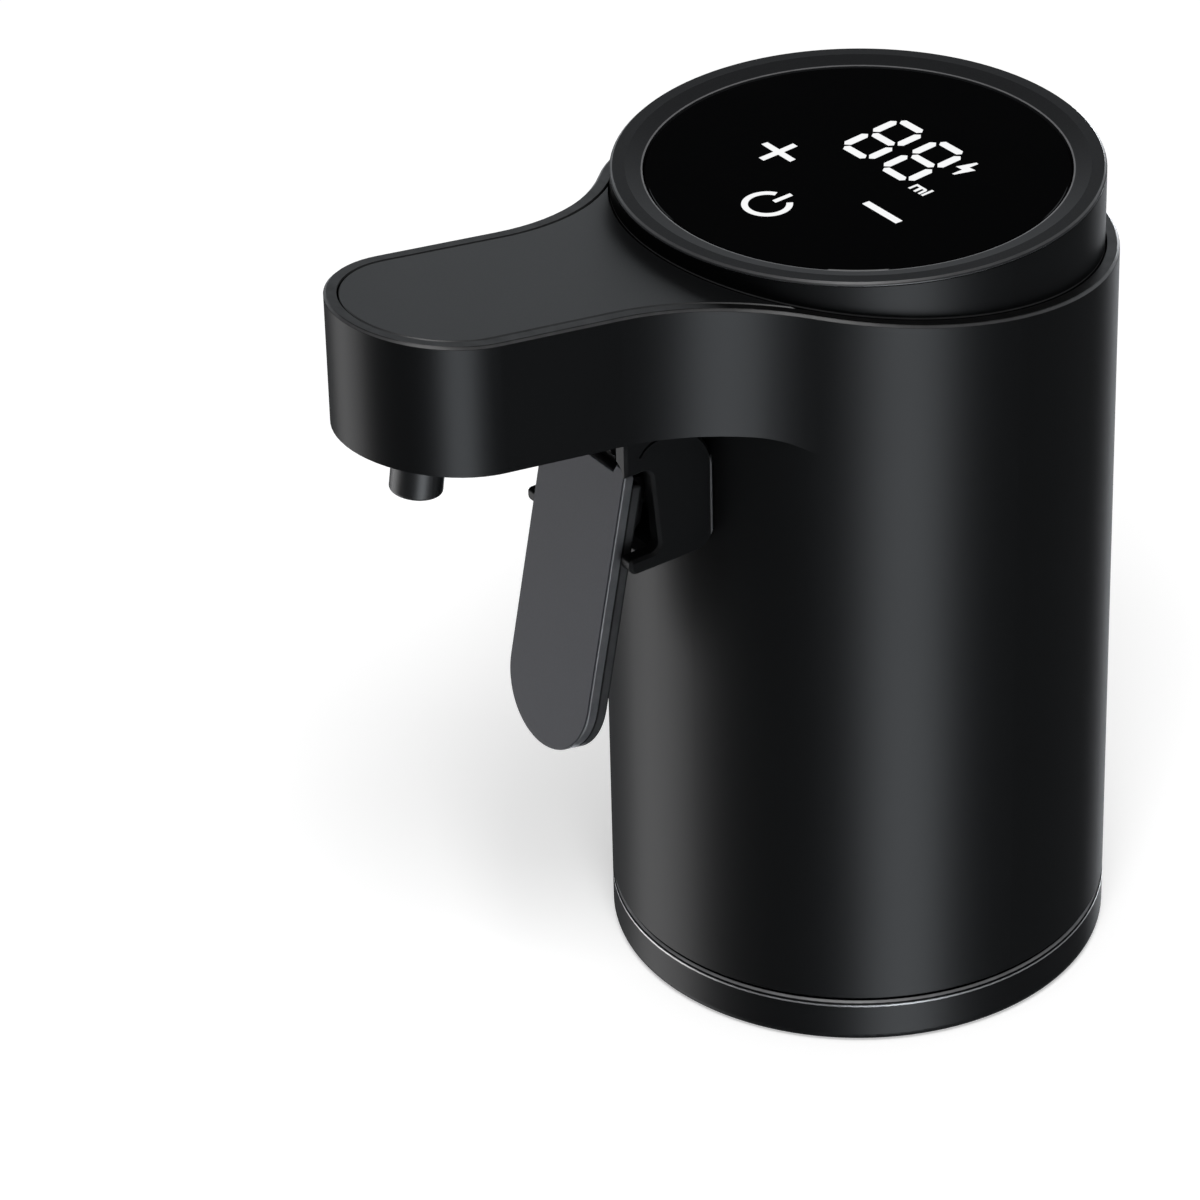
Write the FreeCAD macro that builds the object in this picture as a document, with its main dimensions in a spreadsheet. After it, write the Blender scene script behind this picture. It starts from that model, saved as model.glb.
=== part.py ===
"""Electric wine dispenser that stands on the neck of a bottle.

The origin lies on the axis of the round body, at the plane of its base. +Z is up and the
arm with the nozzle points along -Y. Lengths are in millimetres and angles in degrees.
"""
import FreeCAD, Part
import math
import os
import types
import Sketcher

SIZES = {
    # Round body shell and its sloped rim
    "body_radius": 33.0,
    "body_wall": 1.6,
    "rim_rise": 105.3,
    "rim_slope": 8.5,
    "rim_bevel": 0.35,
    "edge_chamfer": 0.35,
    "fit_gap": 0.05,
    "seam_gap": 0.3,
    # Arm
    "arm_half_width": 13.6,
    "arm_ahead": 30.3,
    "arm_depth": 17.9,
    "arm_blend": 30.9,
    "arm_floor": 2.0,
    "under_blend": 14.0,
    "under_blend_inset": 3.3,
    "cover_thickness": 1.6,
    "cover_gap": 0.25,
    "cover_ledge": 1.0,
    "cover_edge": 0.15,
    # Head with the touch display
    "head_inset": 1.85,
    "head_rise": 7.4,
    "head_sink": 0.9,
    "head_rounding": 0.45,
    "quarter_turn": 90.0,
    "neck_gap": 1.8,
    "neck_wall": 1.4,
    "neck_sink": 5.0,
    "hook_grip": 0.7,
    "hook_width": 8.0,
    "shelf_sink": 2.6,
    "shelf_thickness": 1.2,
    "shelf_gap": 0.3,
    "bezel_width": 4.15,
    "bezel_height": 1.6,
    "bezel_lip": 0.5,
    "bezel_spigot": 2.5,
    "bezel_band": 1.95,
    "bezel_bevel_drop": 0.6,
    "seam_chamfer": 0.08,
    "glass_chamfer": 0.2,
    "glass_gap": 0.2,
    "glass_thickness": 1.8,
    "glass_recess": 0.7,
    "tape_thickness": 0.3,
    "ledge_width": 2.8,
    "ledge_thickness": 1.5,
    # Boards and contacts under the glass
    "board_gap": 0.6,
    "board_thickness": 1.2,
    "board_drop": 1.8,
    "board_screw_inset": 2.2,
    "board_boss_radius": 2.2,
    "digits_width": 18.0,
    "digits_depth": 13.5,
    "digits_back": 6.0,
    "touch_spring_radius": 2.4,
    "touch_spring_wall": 0.5,
    "side_key_offset": 10.2,
    "side_key_front": 6.0,
    "power_key_front": 15.4,
    # Base ring
    "base_height": 6.4,
    "base_floor": 2.4,
    "base_open_gap": 0.4,
    "base_rounding": 1.2,
    "base_chamfer": 0.4,
    "spigot_gap": 0.2,
    "spigot_wall": 1.6,
    "spigot_height": 3.6,
    "snap_bead": 0.45,
    "snap_rise": 1.4,
    "snap_height": 1.2,
    "intake_radius": 0.8,
    "intake_inset": 2.7,
    "intake_turn": -30.0,
    "intake_spread": 7.0,
    # Screws of the base and posts of the chassis
    "post_inset": 3.7,
    "post_radius": 3.2,
    "screw_radius": 1.25,
    "screw_head_ratio": 1.84,
    "screw_drive_ratio": 0.8,
    "screw_head_height": 1.2,
    "base_screw_length": 12.0,
    "screw_recess": 0.2,
    "screw_clearance": 0.2,
    # Guide for the neck of the bottle
    "guide_bore": 15.6,
    "guide_bore_start": 8.0,
    "guide_bore_length": 20.0,
    "guide_relief": 0.6,
    "guide_mouth": 20.4,
    "guide_wall": 1.6,
    "guide_flange_gap": 0.4,
    "guide_flange": 2.0,
    "guide_top": 49.6,
    # Stopper
    "core_flange_gap": 0.4,
    "core_flange": 3.4,
    "core_stem_radius": 5.5,
    "core_stem_length": 15.0,
    "core_lip_radius": 6.3,
    "core_lip": 1.2,
    "nipple_radius": 2.5,
    "nipple_length": 6.0,
    "wine_bore": 1.2,
    "air_bore": 0.7,
    "air_front": 11.0,
    "air_channel": 3.6,
    "plug_top_radius": 10.2,
    "plug_tip_radius": 8.6,
    "plug_rib": 0.7,
    "core_screw_inset": 3.8,
    "core_screw_length": 6.8,
    # Hoses
    "wine_hose_radius": 3.0,
    "wine_hose_bore": 2.0,
    "air_hose_radius": 2.0,
    "air_hose_bore": 1.25,
    "barb_gap": 0.05,
    "barb_length": 5.0,
    "hose_start": 0.4,
    "wine_bend": 9.0,
    "air_bend": 4.0,
    "air_loop_level": 78.0,
    # Chassis deck
    "deck_level": 55.0,
    "deck_thickness": 2.0,
    "deck_clearance": 0.5,
    "deck_slot_radius": 4.5,
    "deck_ledge": 1.5,
    "deck_ledge_height": 2.0,
    "deck_collar": 1.0,
    "deck_collar_height": 1.2,
    # Pump
    "pump_turn": 142.43,
    "pump_wall_gap": 3.0,
    "pump_hose_gap": 1.4,
    "pump_head_height": 6.0,
    "pump_port_level": 3.45,
    "pump_chamber_wall": 4.0,
    "pump_chamber_depth": 2.6,
    "pump_frame_wall": 3.0,
    "pump_frame_height": 9.0,
    "diaphragm_thickness": 0.8,
    "cup_wall": 1.1,
    "cup_height": 2.4,
    "crank_radius": 5.0,
    "crank_thickness": 2.6,
    "crank_floor": 0.87,
    "crank_hub_radius": 2.6,
    "crank_pin_radius": 0.8,
    "crank_pin_offset": 1.5,
    "crank_pin_dip": 1.5,
    "motor_height": 25.0,
    "motor_inset": 0.2,
    "motor_cap_radius": 4.0,
    "motor_cap_height": 1.8,
    "shaft_radius": 1.0,
    "shaft_depth": 8.0,
    "running_gap": 0.05,
    "moving_gap": 0.35,
    # Check valve
    "valve_radius": 3.4,
    "valve_length": 5.0,
    "valve_level": 62.0,
    "valve_barb": 3.6,
    # Battery
    "cell_turn": 40.24,
    "cell_wall_gap": 5.17,
    "cell_radius": 9.2,
    "cell_height": 34.5,
    "cell_button_radius": 2.8,
    "cell_button_height": 1.0,
    "clip_wall": 0.85,
    "clip_height": 6.0,
    "clip_floor": 1.0,
    # Charging socket
    "charge_board_level": 12.0,
    "charge_board_width": 14.0,
    "charge_board_depth": 9.2,
    "charge_board_inset": 12.0,
    "pedestal_width": 10.0,
    "pedestal_depth": 6.0,
    "socket_width": 8.94,
    "socket_height": 3.26,
    "socket_depth": 7.3,
    "socket_wall": 0.3,
    "socket_gap": 0.2,
    "socket_recess": 0.3,
    "socket_back_wall": 0.8,
    "tongue_width": 6.7,
    "tongue_thickness": 0.7,
    "tongue_length": 4.6,
    # Nozzle
    "nozzle_ahead": 3.1,
    "nozzle_radius": 3.35,
    "nozzle_length": 7.9,
    "nozzle_neck_radius": 3.0,
    "nozzle_neck_length": 7.0,
    "nozzle_bore": 1.9,
    "nozzle_rounding": 0.5,
    "nut_radius": 5.2,
    "nut_height": 2.3,
    "washer_radius": 5.0,
    "washer_thickness": 0.6,
    "elbow_radius": 4.2,
    "elbow_start": 5.3,
    "elbow_height": 6.6,
    "elbow_socket": 2.0,
    "elbow_level": 8.9,
    # Lever housing (yoke): distances ahead of the round body, and drops below the arm
    "yoke_half_width": 11.4,
    "cheek_thickness": 2.0,
    "yoke_ahead": 11.3,
    "yoke_behind": 2.1,
    "yoke_drop": 18.88,
    "yoke_floor": 2.25,
    "yoke_wall": 2.2,
    "yoke_top_corner": 9.0,
    "yoke_low_corner": 3.0,
    "yoke_edge": 0.4,
    "brow_drop": 4.53,
    "relief_radius": 1.86,
    "relief_inset": 0.6,
    "slot_ahead": 8.6,
    "slot_corner": 1.4,
    "slot_top_ahead": 7.3,
    "slot_low_ahead": 6.4,
    "slot_low_corner": 1.2,
    "lip_ahead": 10.9,
    "lip_rounding": 1.3,
    "lip_edge": 0.5,
    "floor_ahead": 6.8,
    "tongue_cut_radius": 3.15,
    "tongue_cut_width": 0.3,
    "tongue_cut_from": 90.0,
    "tongue_cut_to": 152.0,
    "yoke_screw_side": 6.6,
    "yoke_screw_drop": 6.332,
    "yoke_boss_radius": 2.2,
    "yoke_boss_ahead": 3.8,
    "yoke_screw_radius": 1.0,
    "yoke_screw_length": 6.2,
    "yoke_pilot_floor": 0.55,
    "screw_pad_radius": 2.4,
    "screw_pad_behind": 3.0,
    # Hinge and paddle
    "pin_ahead": 6.4,
    "pin_drop": 3.732,
    "pin_radius": 1.0,
    "pin_seat": 1.2,
    "paddle_lean": 11.2,
    "paddle_half_width": 8.7,
    "paddle_top": 1.95,
    "paddle_notch": 3.03,
    "paddle_notch_foot": 6.2,
    "paddle_notch_side": 6.7,
    "paddle_straight": 33.85,
    "paddle_face_front": 2.72,
    "paddle_face_thickness": 1.37,
    "paddle_frame_thickness": 1.44,
    "paddle_layer_gap": 0.03,
    "paddle_corner": 1.5,
    "frame_top": 4.3,
    "frame_corner": 0.5,
    "frame_pocket_rim": 0.25,
    "frame_pocket_width": 1.2,
    "frame_pocket_depth": 1.0,
    "paddle_edge": 0.3,
    "paddle_recess": 0.7,
    "paddle_rim": 1.6,
    "paddle_rib": 1.2,
    "knuckle_radius": 2.55,
    "knuckle_outer": 4.6,
    "knuckle_inner": 2.4,
    "rib_half_width": 7.0,
    "rib_top": 4.2,
    "rib_bottom": 12.3,
    "rib_back": 2.2,
    "rib_corner": 2.4,
    # Return spring
    "spring_wire": 0.3,
    "spring_coil": 1.75,
    "spring_pitch": 0.75,
    "spring_leg_down": 6.5,
    "spring_leg_up": 4.1,
    "spring_notch": 1.4,
    "spring_notch_depth": 7.5,
    "tie_radius": 0.75,
    "tie_ahead": 6.0,
    "tie_drop": 0.132,
    # Trigger switch
    "switch_drop": 11.832,
    "switch_half_width": 3.1,
    "switch_ahead": 4.1,
    "switch_depth": 3.5,
    "plunger_radius": 1.3,
    "plunger_gap": 0.15,
    "plunger_length": 2.4,
    "plunger_bore": 2.9,
    "switch_gap": 0.1,
}

HEAD_SCREWS = 3
BASE_POSTS = 3
CORE_SCREWS = 3
INTAKE_HOLES = 5
PLUG_RIBS = 3
SPRING_TURNS = 4
HEX_SIDES = 6
ROUNDING_STEPS = 3
TALL = 140.0

doc = FreeCAD.newDocument("wine_dispenser")
sheet = doc.addObject("Spreadsheet::Sheet", "sizes")
for row, (alias, value) in enumerate(SIZES.items(), start=1):
    sheet.set("A%d" % row, alias)
    sheet.set("B%d" % row, str(value))
    sheet.setAlias("B%d" % row, alias)
doc.recompute()


class Size:
    """A length or an angle, with the sheet expression that gives it."""

    def __init__(self, value, text):
        self.value = value
        self.text = text

    def join(self, other, sign, value):
        return Size(value, "(%s %s %s)" % (self.text, sign, size_of(other).text))

    def __add__(self, other):
        return self.join(other, "+", self.value + size_of(other).value)

    def __sub__(self, other):
        return self.join(other, "-", self.value - size_of(other).value)

    def __mul__(self, other):
        return self.join(other, "*", self.value * size_of(other).value)

    def __truediv__(self, other):
        return self.join(other, "/", self.value / size_of(other).value)

    def __rsub__(self, other):
        return size_of(other) - self

    def __neg__(self):
        return Size(-self.value, "(0 - %s)" % self.text)

    __radd__ = __add__
    __rmul__ = __mul__


def size_of(number):
    """Wrap a plain number, so that sizes and numbers can be mixed."""
    return number if isinstance(number, Size) else Size(float(number), repr(float(number)))


def sine(angle):
    return Size(math.sin(math.radians(angle.value)), "sin(%s * 1 deg)" % angle.text)


def cosine(angle):
    return Size(math.cos(math.radians(angle.value)), "cos(%s * 1 deg)" % angle.text)


def root(square):
    return Size(math.sqrt(square.value), "sqrt(%s)" % square.text)


def bind(thing, path, number):
    """Give a property its value, and tie it to the sheet."""
    thing.setExpression(path, size_of(number).text)


d = types.SimpleNamespace(**{alias: Size(float(sheet.get(alias)), "sizes." + alias) for alias in SIZES})

# Radii, from the round body inwards.
shell_bore = d.body_radius - d.body_wall
neck_radius = shell_bore - d.neck_gap
shelf_radius = neck_radius + d.shelf_gap
hook_radius = shelf_radius + d.hook_grip
head_bore = neck_radius - d.neck_wall
head_radius = d.body_radius - d.head_inset
bezel_inner = head_radius - d.bezel_width
bezel_spigot_radius = bezel_inner + d.bezel_spigot
glass_radius = bezel_inner - d.glass_gap
ledge_radius = glass_radius - d.ledge_width
board_radius = head_bore - d.board_gap
board_screw_circle = board_radius - d.board_screw_inset
spigot_radius = shell_bore - d.spigot_gap
guide_flange_radius = spigot_radius - d.spigot_wall - d.guide_flange_gap
post_circle = guide_flange_radius - d.post_inset
intake_circle = guide_flange_radius - d.intake_inset
guide_outer = d.guide_bore + d.guide_relief + d.guide_wall
base_open_radius = d.guide_mouth + d.base_open_gap
core_flange_radius = guide_outer - d.core_flange_gap
core_screw_circle = core_flange_radius - d.core_screw_inset
screw_head_radius = d.screw_radius * d.screw_head_ratio

# The pump fills the room between the wine hose and the shell, and the cell stands beside it.
pump_radius = (shell_bore - d.wine_hose_radius - d.pump_hose_gap - d.pump_wall_gap) / 2
pump_distance = shell_bore - d.pump_wall_gap - pump_radius
pump_x = pump_distance * cosine(d.pump_turn)
pump_y = pump_distance * sine(d.pump_turn)
pump_chamber_radius = pump_radius - d.pump_chamber_wall
pump_crank_room = pump_radius - d.pump_frame_wall
motor_radius = pump_radius - d.motor_inset
cell_distance = shell_bore - d.cell_wall_gap - d.cell_radius
cell_x = cell_distance * cosine(d.cell_turn)
cell_y = cell_distance * sine(d.cell_turn)

# Distances in front of the body's axis, for the arm and for all that hangs under it.
arm_reach = d.body_radius + d.arm_ahead
nozzle_reach = arm_reach + d.nozzle_ahead
under_blend_start = d.body_radius - d.under_blend_inset
yoke_front = d.body_radius + d.yoke_ahead
yoke_back = d.body_radius - d.yoke_behind
slot_front = d.body_radius + d.slot_ahead
slot_top_depth = d.body_radius + d.slot_top_ahead
slot_low_depth = d.body_radius + d.slot_low_ahead
lip_front = d.body_radius + d.lip_ahead
floor_front = d.body_radius + d.floor_ahead
yoke_boss_front = d.body_radius + d.yoke_boss_ahead
screw_pad_front = d.body_radius - d.screw_pad_behind
pin_front = d.body_radius + d.pin_ahead
tie_front = d.body_radius + d.tie_ahead
switch_front = d.body_radius + d.switch_ahead

# Heights. The rim plane climbs towards the arm.
slope = sine(d.rim_slope) / cosine(d.rim_slope)


def rim_at(front, sink=0):
    """Height of the rim plane at a distance in front of the body axis, less a sink."""
    return d.rim_rise + front * slope - sink


arm_root = rim_at(d.body_radius, d.arm_depth)
yoke_bottom = arm_root - d.yoke_drop
brow_height = arm_root - d.brow_drop
yoke_screw_height = arm_root - d.yoke_screw_drop
pin_height = arm_root - d.pin_drop
tie_height = arm_root - d.tie_drop
switch_height = arm_root - d.switch_drop
shell_bottom = d.base_height + d.seam_gap
head_top = d.rim_rise + d.head_rise
bezel_seam = head_top - d.bezel_lip
bezel_seat = head_top - d.bezel_height
glass_top = head_top - d.glass_recess
glass_bottom = glass_top - d.glass_thickness
ledge_top = glass_bottom - d.tape_thickness
ledge_bottom = ledge_top - d.ledge_thickness
board_top = ledge_bottom - d.board_drop
flange_top = d.base_floor + d.guide_flange
core_top = d.guide_top + d.core_flange
deck_top = d.deck_level + d.deck_thickness
pump_base = deck_top + d.fit_gap
diaphragm_base = pump_base + d.pump_head_height + d.fit_gap
diaphragm_top = diaphragm_base + d.diaphragm_thickness
frame_base = diaphragm_top + d.fit_gap
motor_base = frame_base + d.pump_frame_height + d.fit_gap


# ---------------------------------------------------------------- drawing helpers


def new_body(name):
    body = doc.addObject("PartDesign::Body", name)
    body.Label = name
    return body


def sketch_on(body, role, lift=0):
    """A sketch on one of the body's origin planes, lifted along that plane's normal."""
    sketch = body.newObject("Sketcher::SketchObject", body.Name + "_sketch")
    plane = [feature for feature in body.Origin.OriginFeatures if feature.Role == role][0]
    sketch.AttachmentSupport = [(plane, "")]
    sketch.MapMode = "FlatFace"
    bind(sketch, "AttachmentOffset.Base.z", lift)
    return sketch


def pin_point(sketch, curve, end, across, up):
    """Fix one point of a curve by its two coordinates."""
    for kind, number, axis in (("DistanceX", across, -2), ("DistanceY", up, -1)):
        if number.value == 0 and number.text == "0.0":
            sketch.addConstraint(Sketcher.Constraint("PointOnObject", curve, end, axis))
        else:
            made = sketch.addConstraint(Sketcher.Constraint(kind, -1, 1, curve, end, number.value))
            bind(sketch, "Constraints[%d]" % made, number)


def draw_circle(sketch, across, up, radius):
    across, up, radius = size_of(across), size_of(up), size_of(radius)
    centre = FreeCAD.Vector(across.value, up.value, 0)
    curve = sketch.addGeometry(Part.Circle(centre, FreeCAD.Vector(0, 0, 1), radius.value))
    made = sketch.addConstraint(Sketcher.Constraint("Radius", curve, radius.value))
    bind(sketch, "Constraints[%d]" % made, radius)
    pin_point(sketch, curve, 3, across, up)


def arc_between(start, end, radius, turn):
    """The short arc from start to end: turn is 1 to the left and -1 to the right."""
    chord = end - start
    side = FreeCAD.Vector(-chord.y, chord.x, 0).normalize()
    height = math.sqrt(max(radius * radius - chord.Length ** 2 / 4, 0))
    centre = (start + end) * 0.5 + side * (turn * height)
    first, last = (start, end) if turn > 0 else (end, start)
    from_angle = math.atan2(first.y - centre.y, first.x - centre.x)
    to_angle = math.atan2(last.y - centre.y, last.x - centre.x)
    return Part.ArcOfCircle(Part.Circle(centre, FreeCAD.Vector(0, 0, 1), radius), from_angle, to_angle)


def draw_outline(sketch, corners):
    """A closed outline through corners.

    A corner is (across, up) at the end of a straight side, or (across, up, radius, turn) at
    the end of an arc.
    """
    points = [(size_of(corner[0]), size_of(corner[1])) for corner in corners]
    ends = []
    for index, corner in enumerate(corners):
        start = FreeCAD.Vector(points[index - 1][0].value, points[index - 1][1].value, 0)
        end = FreeCAD.Vector(points[index][0].value, points[index][1].value, 0)
        if len(corner) == 2:
            curve = sketch.addGeometry(Part.LineSegment(start, end))
            ends.append((curve, 1, 2))
        else:
            radius, turn = size_of(corner[2]), corner[3]
            curve = sketch.addGeometry(arc_between(start, end, radius.value, turn))
            made = sketch.addConstraint(Sketcher.Constraint("Radius", curve, radius.value))
            bind(sketch, "Constraints[%d]" % made, radius)
            ends.append((curve, 1, 2) if turn > 0 else (curve, 2, 1))
    for index, (curve, start_end, finish_end) in enumerate(ends):
        before, _, before_finish = ends[index - 1]
        sketch.addConstraint(Sketcher.Constraint("Coincident", before, before_finish, curve, start_end))
        pin_point(sketch, curve, finish_end, *points[index])


def pad(body, sketch, length, both_ways=False):
    feature = body.newObject("PartDesign::Pad", body.Name + "_pad")
    feature.Profile = sketch
    if both_ways:
        feature.SideType = "Symmetric"
    bind(feature, "Length", length)
    body.Tip = feature
    return feature


def pocket(body, sketch, length=None, upwards=False, both_ways=False):
    """Cut along the sketch's normal, through everything where no length is given."""
    feature = body.newObject("PartDesign::Pocket", body.Name + "_pocket")
    feature.Profile = sketch
    feature.Reversed = upwards
    if both_ways:
        feature.SideType = "Symmetric"
    if length is None:
        feature.Type = "ThroughAll"
    else:
        bind(feature, "Length", length)
    body.Tip = feature
    return feature


def turned(name, corners):
    """A body turned about the Z axis, from an outline in the XZ plane."""
    body = new_body(name)
    sketch = sketch_on(body, "XZ_Plane")
    draw_outline(sketch, corners)
    feature = body.newObject("PartDesign::Revolution", name + "_turn")
    feature.Profile = sketch
    feature.ReferenceAxis = (sketch, ["V_Axis"])
    body.Tip = feature
    return body


def dress(body, kind, amount, edges):
    """Chamfer or fillet the named edges of the body's last feature."""
    doc.recompute()
    base = body.Tip
    names = ["Edge%d" % (index + 1) for index, edge in enumerate(base.Shape.Edges) if edges(edge)]
    feature = body.newObject("PartDesign::" + kind, "%s_%s" % (body.Name, kind.lower()))
    feature.Base = (base, names)
    bind(feature, "Size" if kind == "Chamfer" else "Radius", amount)
    body.Tip = feature
    return feature


def place(thing, x=0, y=0, z=0, axis=None, angle=None):
    """Turn a thing about an axis through its origin, and move it."""
    if axis:
        turn = size_of(angle)
        thing.Placement = FreeCAD.Placement(
            FreeCAD.Vector(0, 0, 0), FreeCAD.Rotation(FreeCAD.Vector(*axis), turn.value)
        )
        bind(thing, ".Placement.Rotation.Angle", turn * Size(1.0, "1 deg"))
    for letter, number in (("x", x), ("y", y), ("z", z)):
        bind(thing, ".Placement.Base." + letter, number)
    return thing


ALONG_X = {"axis": (0, 1, 0), "angle": d.quarter_turn}
ALONG_FRONT = {"axis": (1, 0, 0), "angle": d.quarter_turn}
ALONG_BACK = {"axis": (-1, 0, 0), "angle": d.quarter_turn}


def rod(name, radius, height, x=0, y=0, z=0, **turn):
    thing = doc.addObject("Part::Cylinder", name)
    bind(thing, "Radius", radius)
    bind(thing, "Height", height)
    return place(thing, x, y, z, **turn)


def block(name, width, depth, height, x, y, z):
    """A box centred on x and y, standing on z."""
    thing = doc.addObject("Part::Box", name)
    bind(thing, "Length", width)
    bind(thing, "Width", depth)
    bind(thing, "Height", height)
    return place(thing, size_of(x) - size_of(width) / 2, size_of(y) - size_of(depth) / 2, z)


def fuse(name, things):
    thing = doc.addObject("Part::MultiFuse", name)
    thing.Shapes = things
    return thing


def ball(name, radius, x, y, z):
    thing = doc.addObject("Part::Sphere", name)
    bind(thing, "Radius", radius)
    return place(thing, x, y, z)


def cut(name, base, tools):
    thing = doc.addObject("Part::Cut", name)
    thing.Base = base
    thing.Tool = tools[0] if len(tools) == 1 else fuse(name + "_tools", tools)
    return thing


def common(name, first, second):
    thing = doc.addObject("Part::Common", name)
    thing.Base = first
    thing.Tool = second
    return thing


def group(name, things):
    thing = doc.addObject("Part::Compound", name)
    thing.Links = things
    return thing


def tube(name, outer, inner, height, x=0, y=0, z=0):
    return cut(
        name,
        rod(name + "_outside", outer, height, x, y, z),
        [rod(name + "_inside", inner, height, x, y, z)],
    )


def around(count, first_angle):
    """Angles of equal steps round the body, as sizes."""
    return [size_of(first_angle + index * 360.0 / count) for index in range(count)]


def circle_places(radius, angles):
    """Places on a circle round the body's axis."""
    return [(radius * cosine(angle), radius * sine(angle)) for angle in angles]


def keep_between(body, low_sink, high_sink):
    """Cut a body off below and above two planes that lie parallel to the rim."""
    far = arm_reach + d.arm_half_width + d.body_radius
    back = d.body_radius * 2
    if high_sink is not None:
        above = sketch_on(body, "YZ_Plane")
        draw_outline(above, [
            (-far, rim_at(far, high_sink)), (back, rim_at(-back, high_sink)),
            (back, TALL * 2), (-far, TALL * 2),
        ])
        pocket(body, above, both_ways=True)
    if low_sink is not None:
        below = sketch_on(body, "YZ_Plane")
        draw_outline(below, [
            (-far, 0), (back, 0), (back, rim_at(-back, low_sink)), (-far, rim_at(far, low_sink)),
        ])
        pocket(body, below, both_ways=True)


def sloped_disc(name, radius, low_sink, high_sink):
    """A round slab whose two faces lie parallel to the rim."""
    body = new_body(name)
    sketch = sketch_on(body, "XY_Plane")
    draw_circle(sketch, 0, 0, radius)
    pad(body, sketch, TALL)
    keep_between(body, low_sink, high_sink)
    return body


def hexagon(name, radius, height, z=0):
    thing = doc.addObject("Part::Prism", name)
    thing.Polygon = HEX_SIDES
    bind(thing, "Circumradius", radius)
    bind(thing, "Height", height)
    return place(thing, 0, 0, z)


def screw(name, x, y, z, length, radius, **turn):
    """A round-headed screw: the head's underside is at x, y, z, and the shank rises from it."""
    shank = rod(name + "_shank", radius, length + d.screw_head_height / 2, 0, 0, -d.screw_head_height / 2)
    head = rod(name + "_head", radius * d.screw_head_ratio, d.screw_head_height, 0, 0, -d.screw_head_height)
    drive_radius = radius * d.screw_drive_ratio
    drive = hexagon(name + "_drive", drive_radius, d.screw_head_height / 2, -d.screw_head_height)
    return place(cut(name, fuse(name + "_solid", [shank, head]), [drive]), x, y, z, **turn)


def bent_tube(name, points, bends, radius, bore):
    """A hose along straight runs joined by tangent arcs."""
    edges = []
    last = points[0]
    for index, bend in enumerate(bends, start=1):
        corner = points[index]
        back = (points[index - 1] - corner).normalize()
        ahead = (points[index + 1] - corner).normalize()
        half = back.getAngle(ahead) / 2
        run = bend / math.tan(half)
        start = corner + back * run
        end = corner + ahead * run
        inward = (back + ahead).normalize()
        middle = corner + inward * (bend / math.sin(half) - bend)
        edges.append(Part.LineSegment(last, start).toShape())
        edges.append(Part.Arc(start, middle, end).toShape())
        last = end
    edges.append(Part.LineSegment(last, points[-1]).toShape())
    path = Part.Wire(edges)
    along = (points[1] - points[0]).normalize()
    solids = [
        path.makePipeShell([Part.Wire(Part.makeCircle(size, points[0], along))], True, False)
        for size in (radius, bore)
    ]
    hose = doc.addObject("Part::Feature", name)
    hose.Shape = solids[0].cut(solids[1])
    expected = math.pi * (radius ** 2 - bore ** 2) * path.Length
    assert abs(hose.Shape.Volume / expected - 1) < 0.01, name
    print("%s: %.1f mm long" % (name, path.Length))
    return hose


# ---------------------------------------------------------------- body shell and arm


blend_side = d.arm_half_width + d.arm_blend
blend_span = d.body_radius + d.arm_blend
blend_front = root(blend_span * blend_span - blend_side * blend_side)


def arm_meet(inset):
    """Where the blend of the arm meets the round body, as distances to the side and to the front."""
    body_radius = d.body_radius - inset
    return blend_side * body_radius / blend_span, blend_front * body_radius / blend_span


def arm_corners(inset, first):
    """The arm in plan, from one blend to the other: first is the corner that starts it."""
    half_width = d.arm_half_width - inset
    blend = d.arm_blend + inset
    side, front = arm_meet(inset)
    return [
        (side, -front) + first,
        (half_width, -blend_front, blend, 1),
        (half_width, -arm_reach),
        (0, -(arm_reach + half_width), half_width, -1),
        (-half_width, -arm_reach, half_width, -1),
        (-half_width, -blend_front),
        (-side, -front, blend, 1),
    ]


def arm_outline(sketch, inset):
    """The arm in plan: round end, straight sides and two blends that meet the body."""
    draw_outline(sketch, arm_corners(inset, ()))


def cut_below_arm(body, floor):
    """Cut away what lies under the arm, up to a floor above its underside."""
    sink = d.arm_depth - floor
    blend = d.under_blend - floor
    far = arm_reach + d.arm_half_width * 2
    start_front = under_blend_start - floor * sine(d.rim_slope)
    start_height = rim_at(start_front, sink)
    hollow_front = start_front + blend * sine(d.rim_slope) - blend
    below = sketch_on(body, "YZ_Plane")
    draw_outline(below, [
        (-far, 0),
        (-hollow_front, 0),
        (-hollow_front, start_height - blend * cosine(d.rim_slope)),
        (-start_front, start_height, blend, 1),
        (-far, rim_at(far, sink)),
    ])
    pocket(body, below, both_ways=True)


def arm_slab(name, inset, low_sink, high_sink):
    """The arm's plan as a slab between two planes parallel to the rim."""
    body = new_body(name)
    plan = sketch_on(body, "XY_Plane")
    arm_outline(plan, inset)
    pad(body, plan, TALL)
    keep_between(body, low_sink, high_sink)
    return body


def plan_outline(sketch, inset):
    """Body and arm in plan, as one outline."""
    body_radius = d.body_radius - inset
    draw_outline(sketch, [(0, body_radius, body_radius, -1)] + arm_corners(inset, (body_radius, -1)))


def sloped_loft(name, draw, layers):
    """A solid through outlines that lie parallel to the rim: each layer is an inset and a sink."""
    plans = new_body(name + "_plans")
    sections = []
    for inset, sink in layers:
        plan = sketch_on(plans, "XY_Plane")
        draw(plan, inset)
        doc.recompute()
        lift = FreeCAD.Matrix()
        lift.A32 = -slope.value
        lift.A34 = rim_at(0, sink).value
        sections.append(Part.Wire(Part.sortEdges(plan.Shape.Edges)[0]).transformGeometry(lift))
    solid = doc.addObject("Part::Feature", name)
    solid.Shape = Part.makeLoft(sections, True, True)
    return solid


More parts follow.
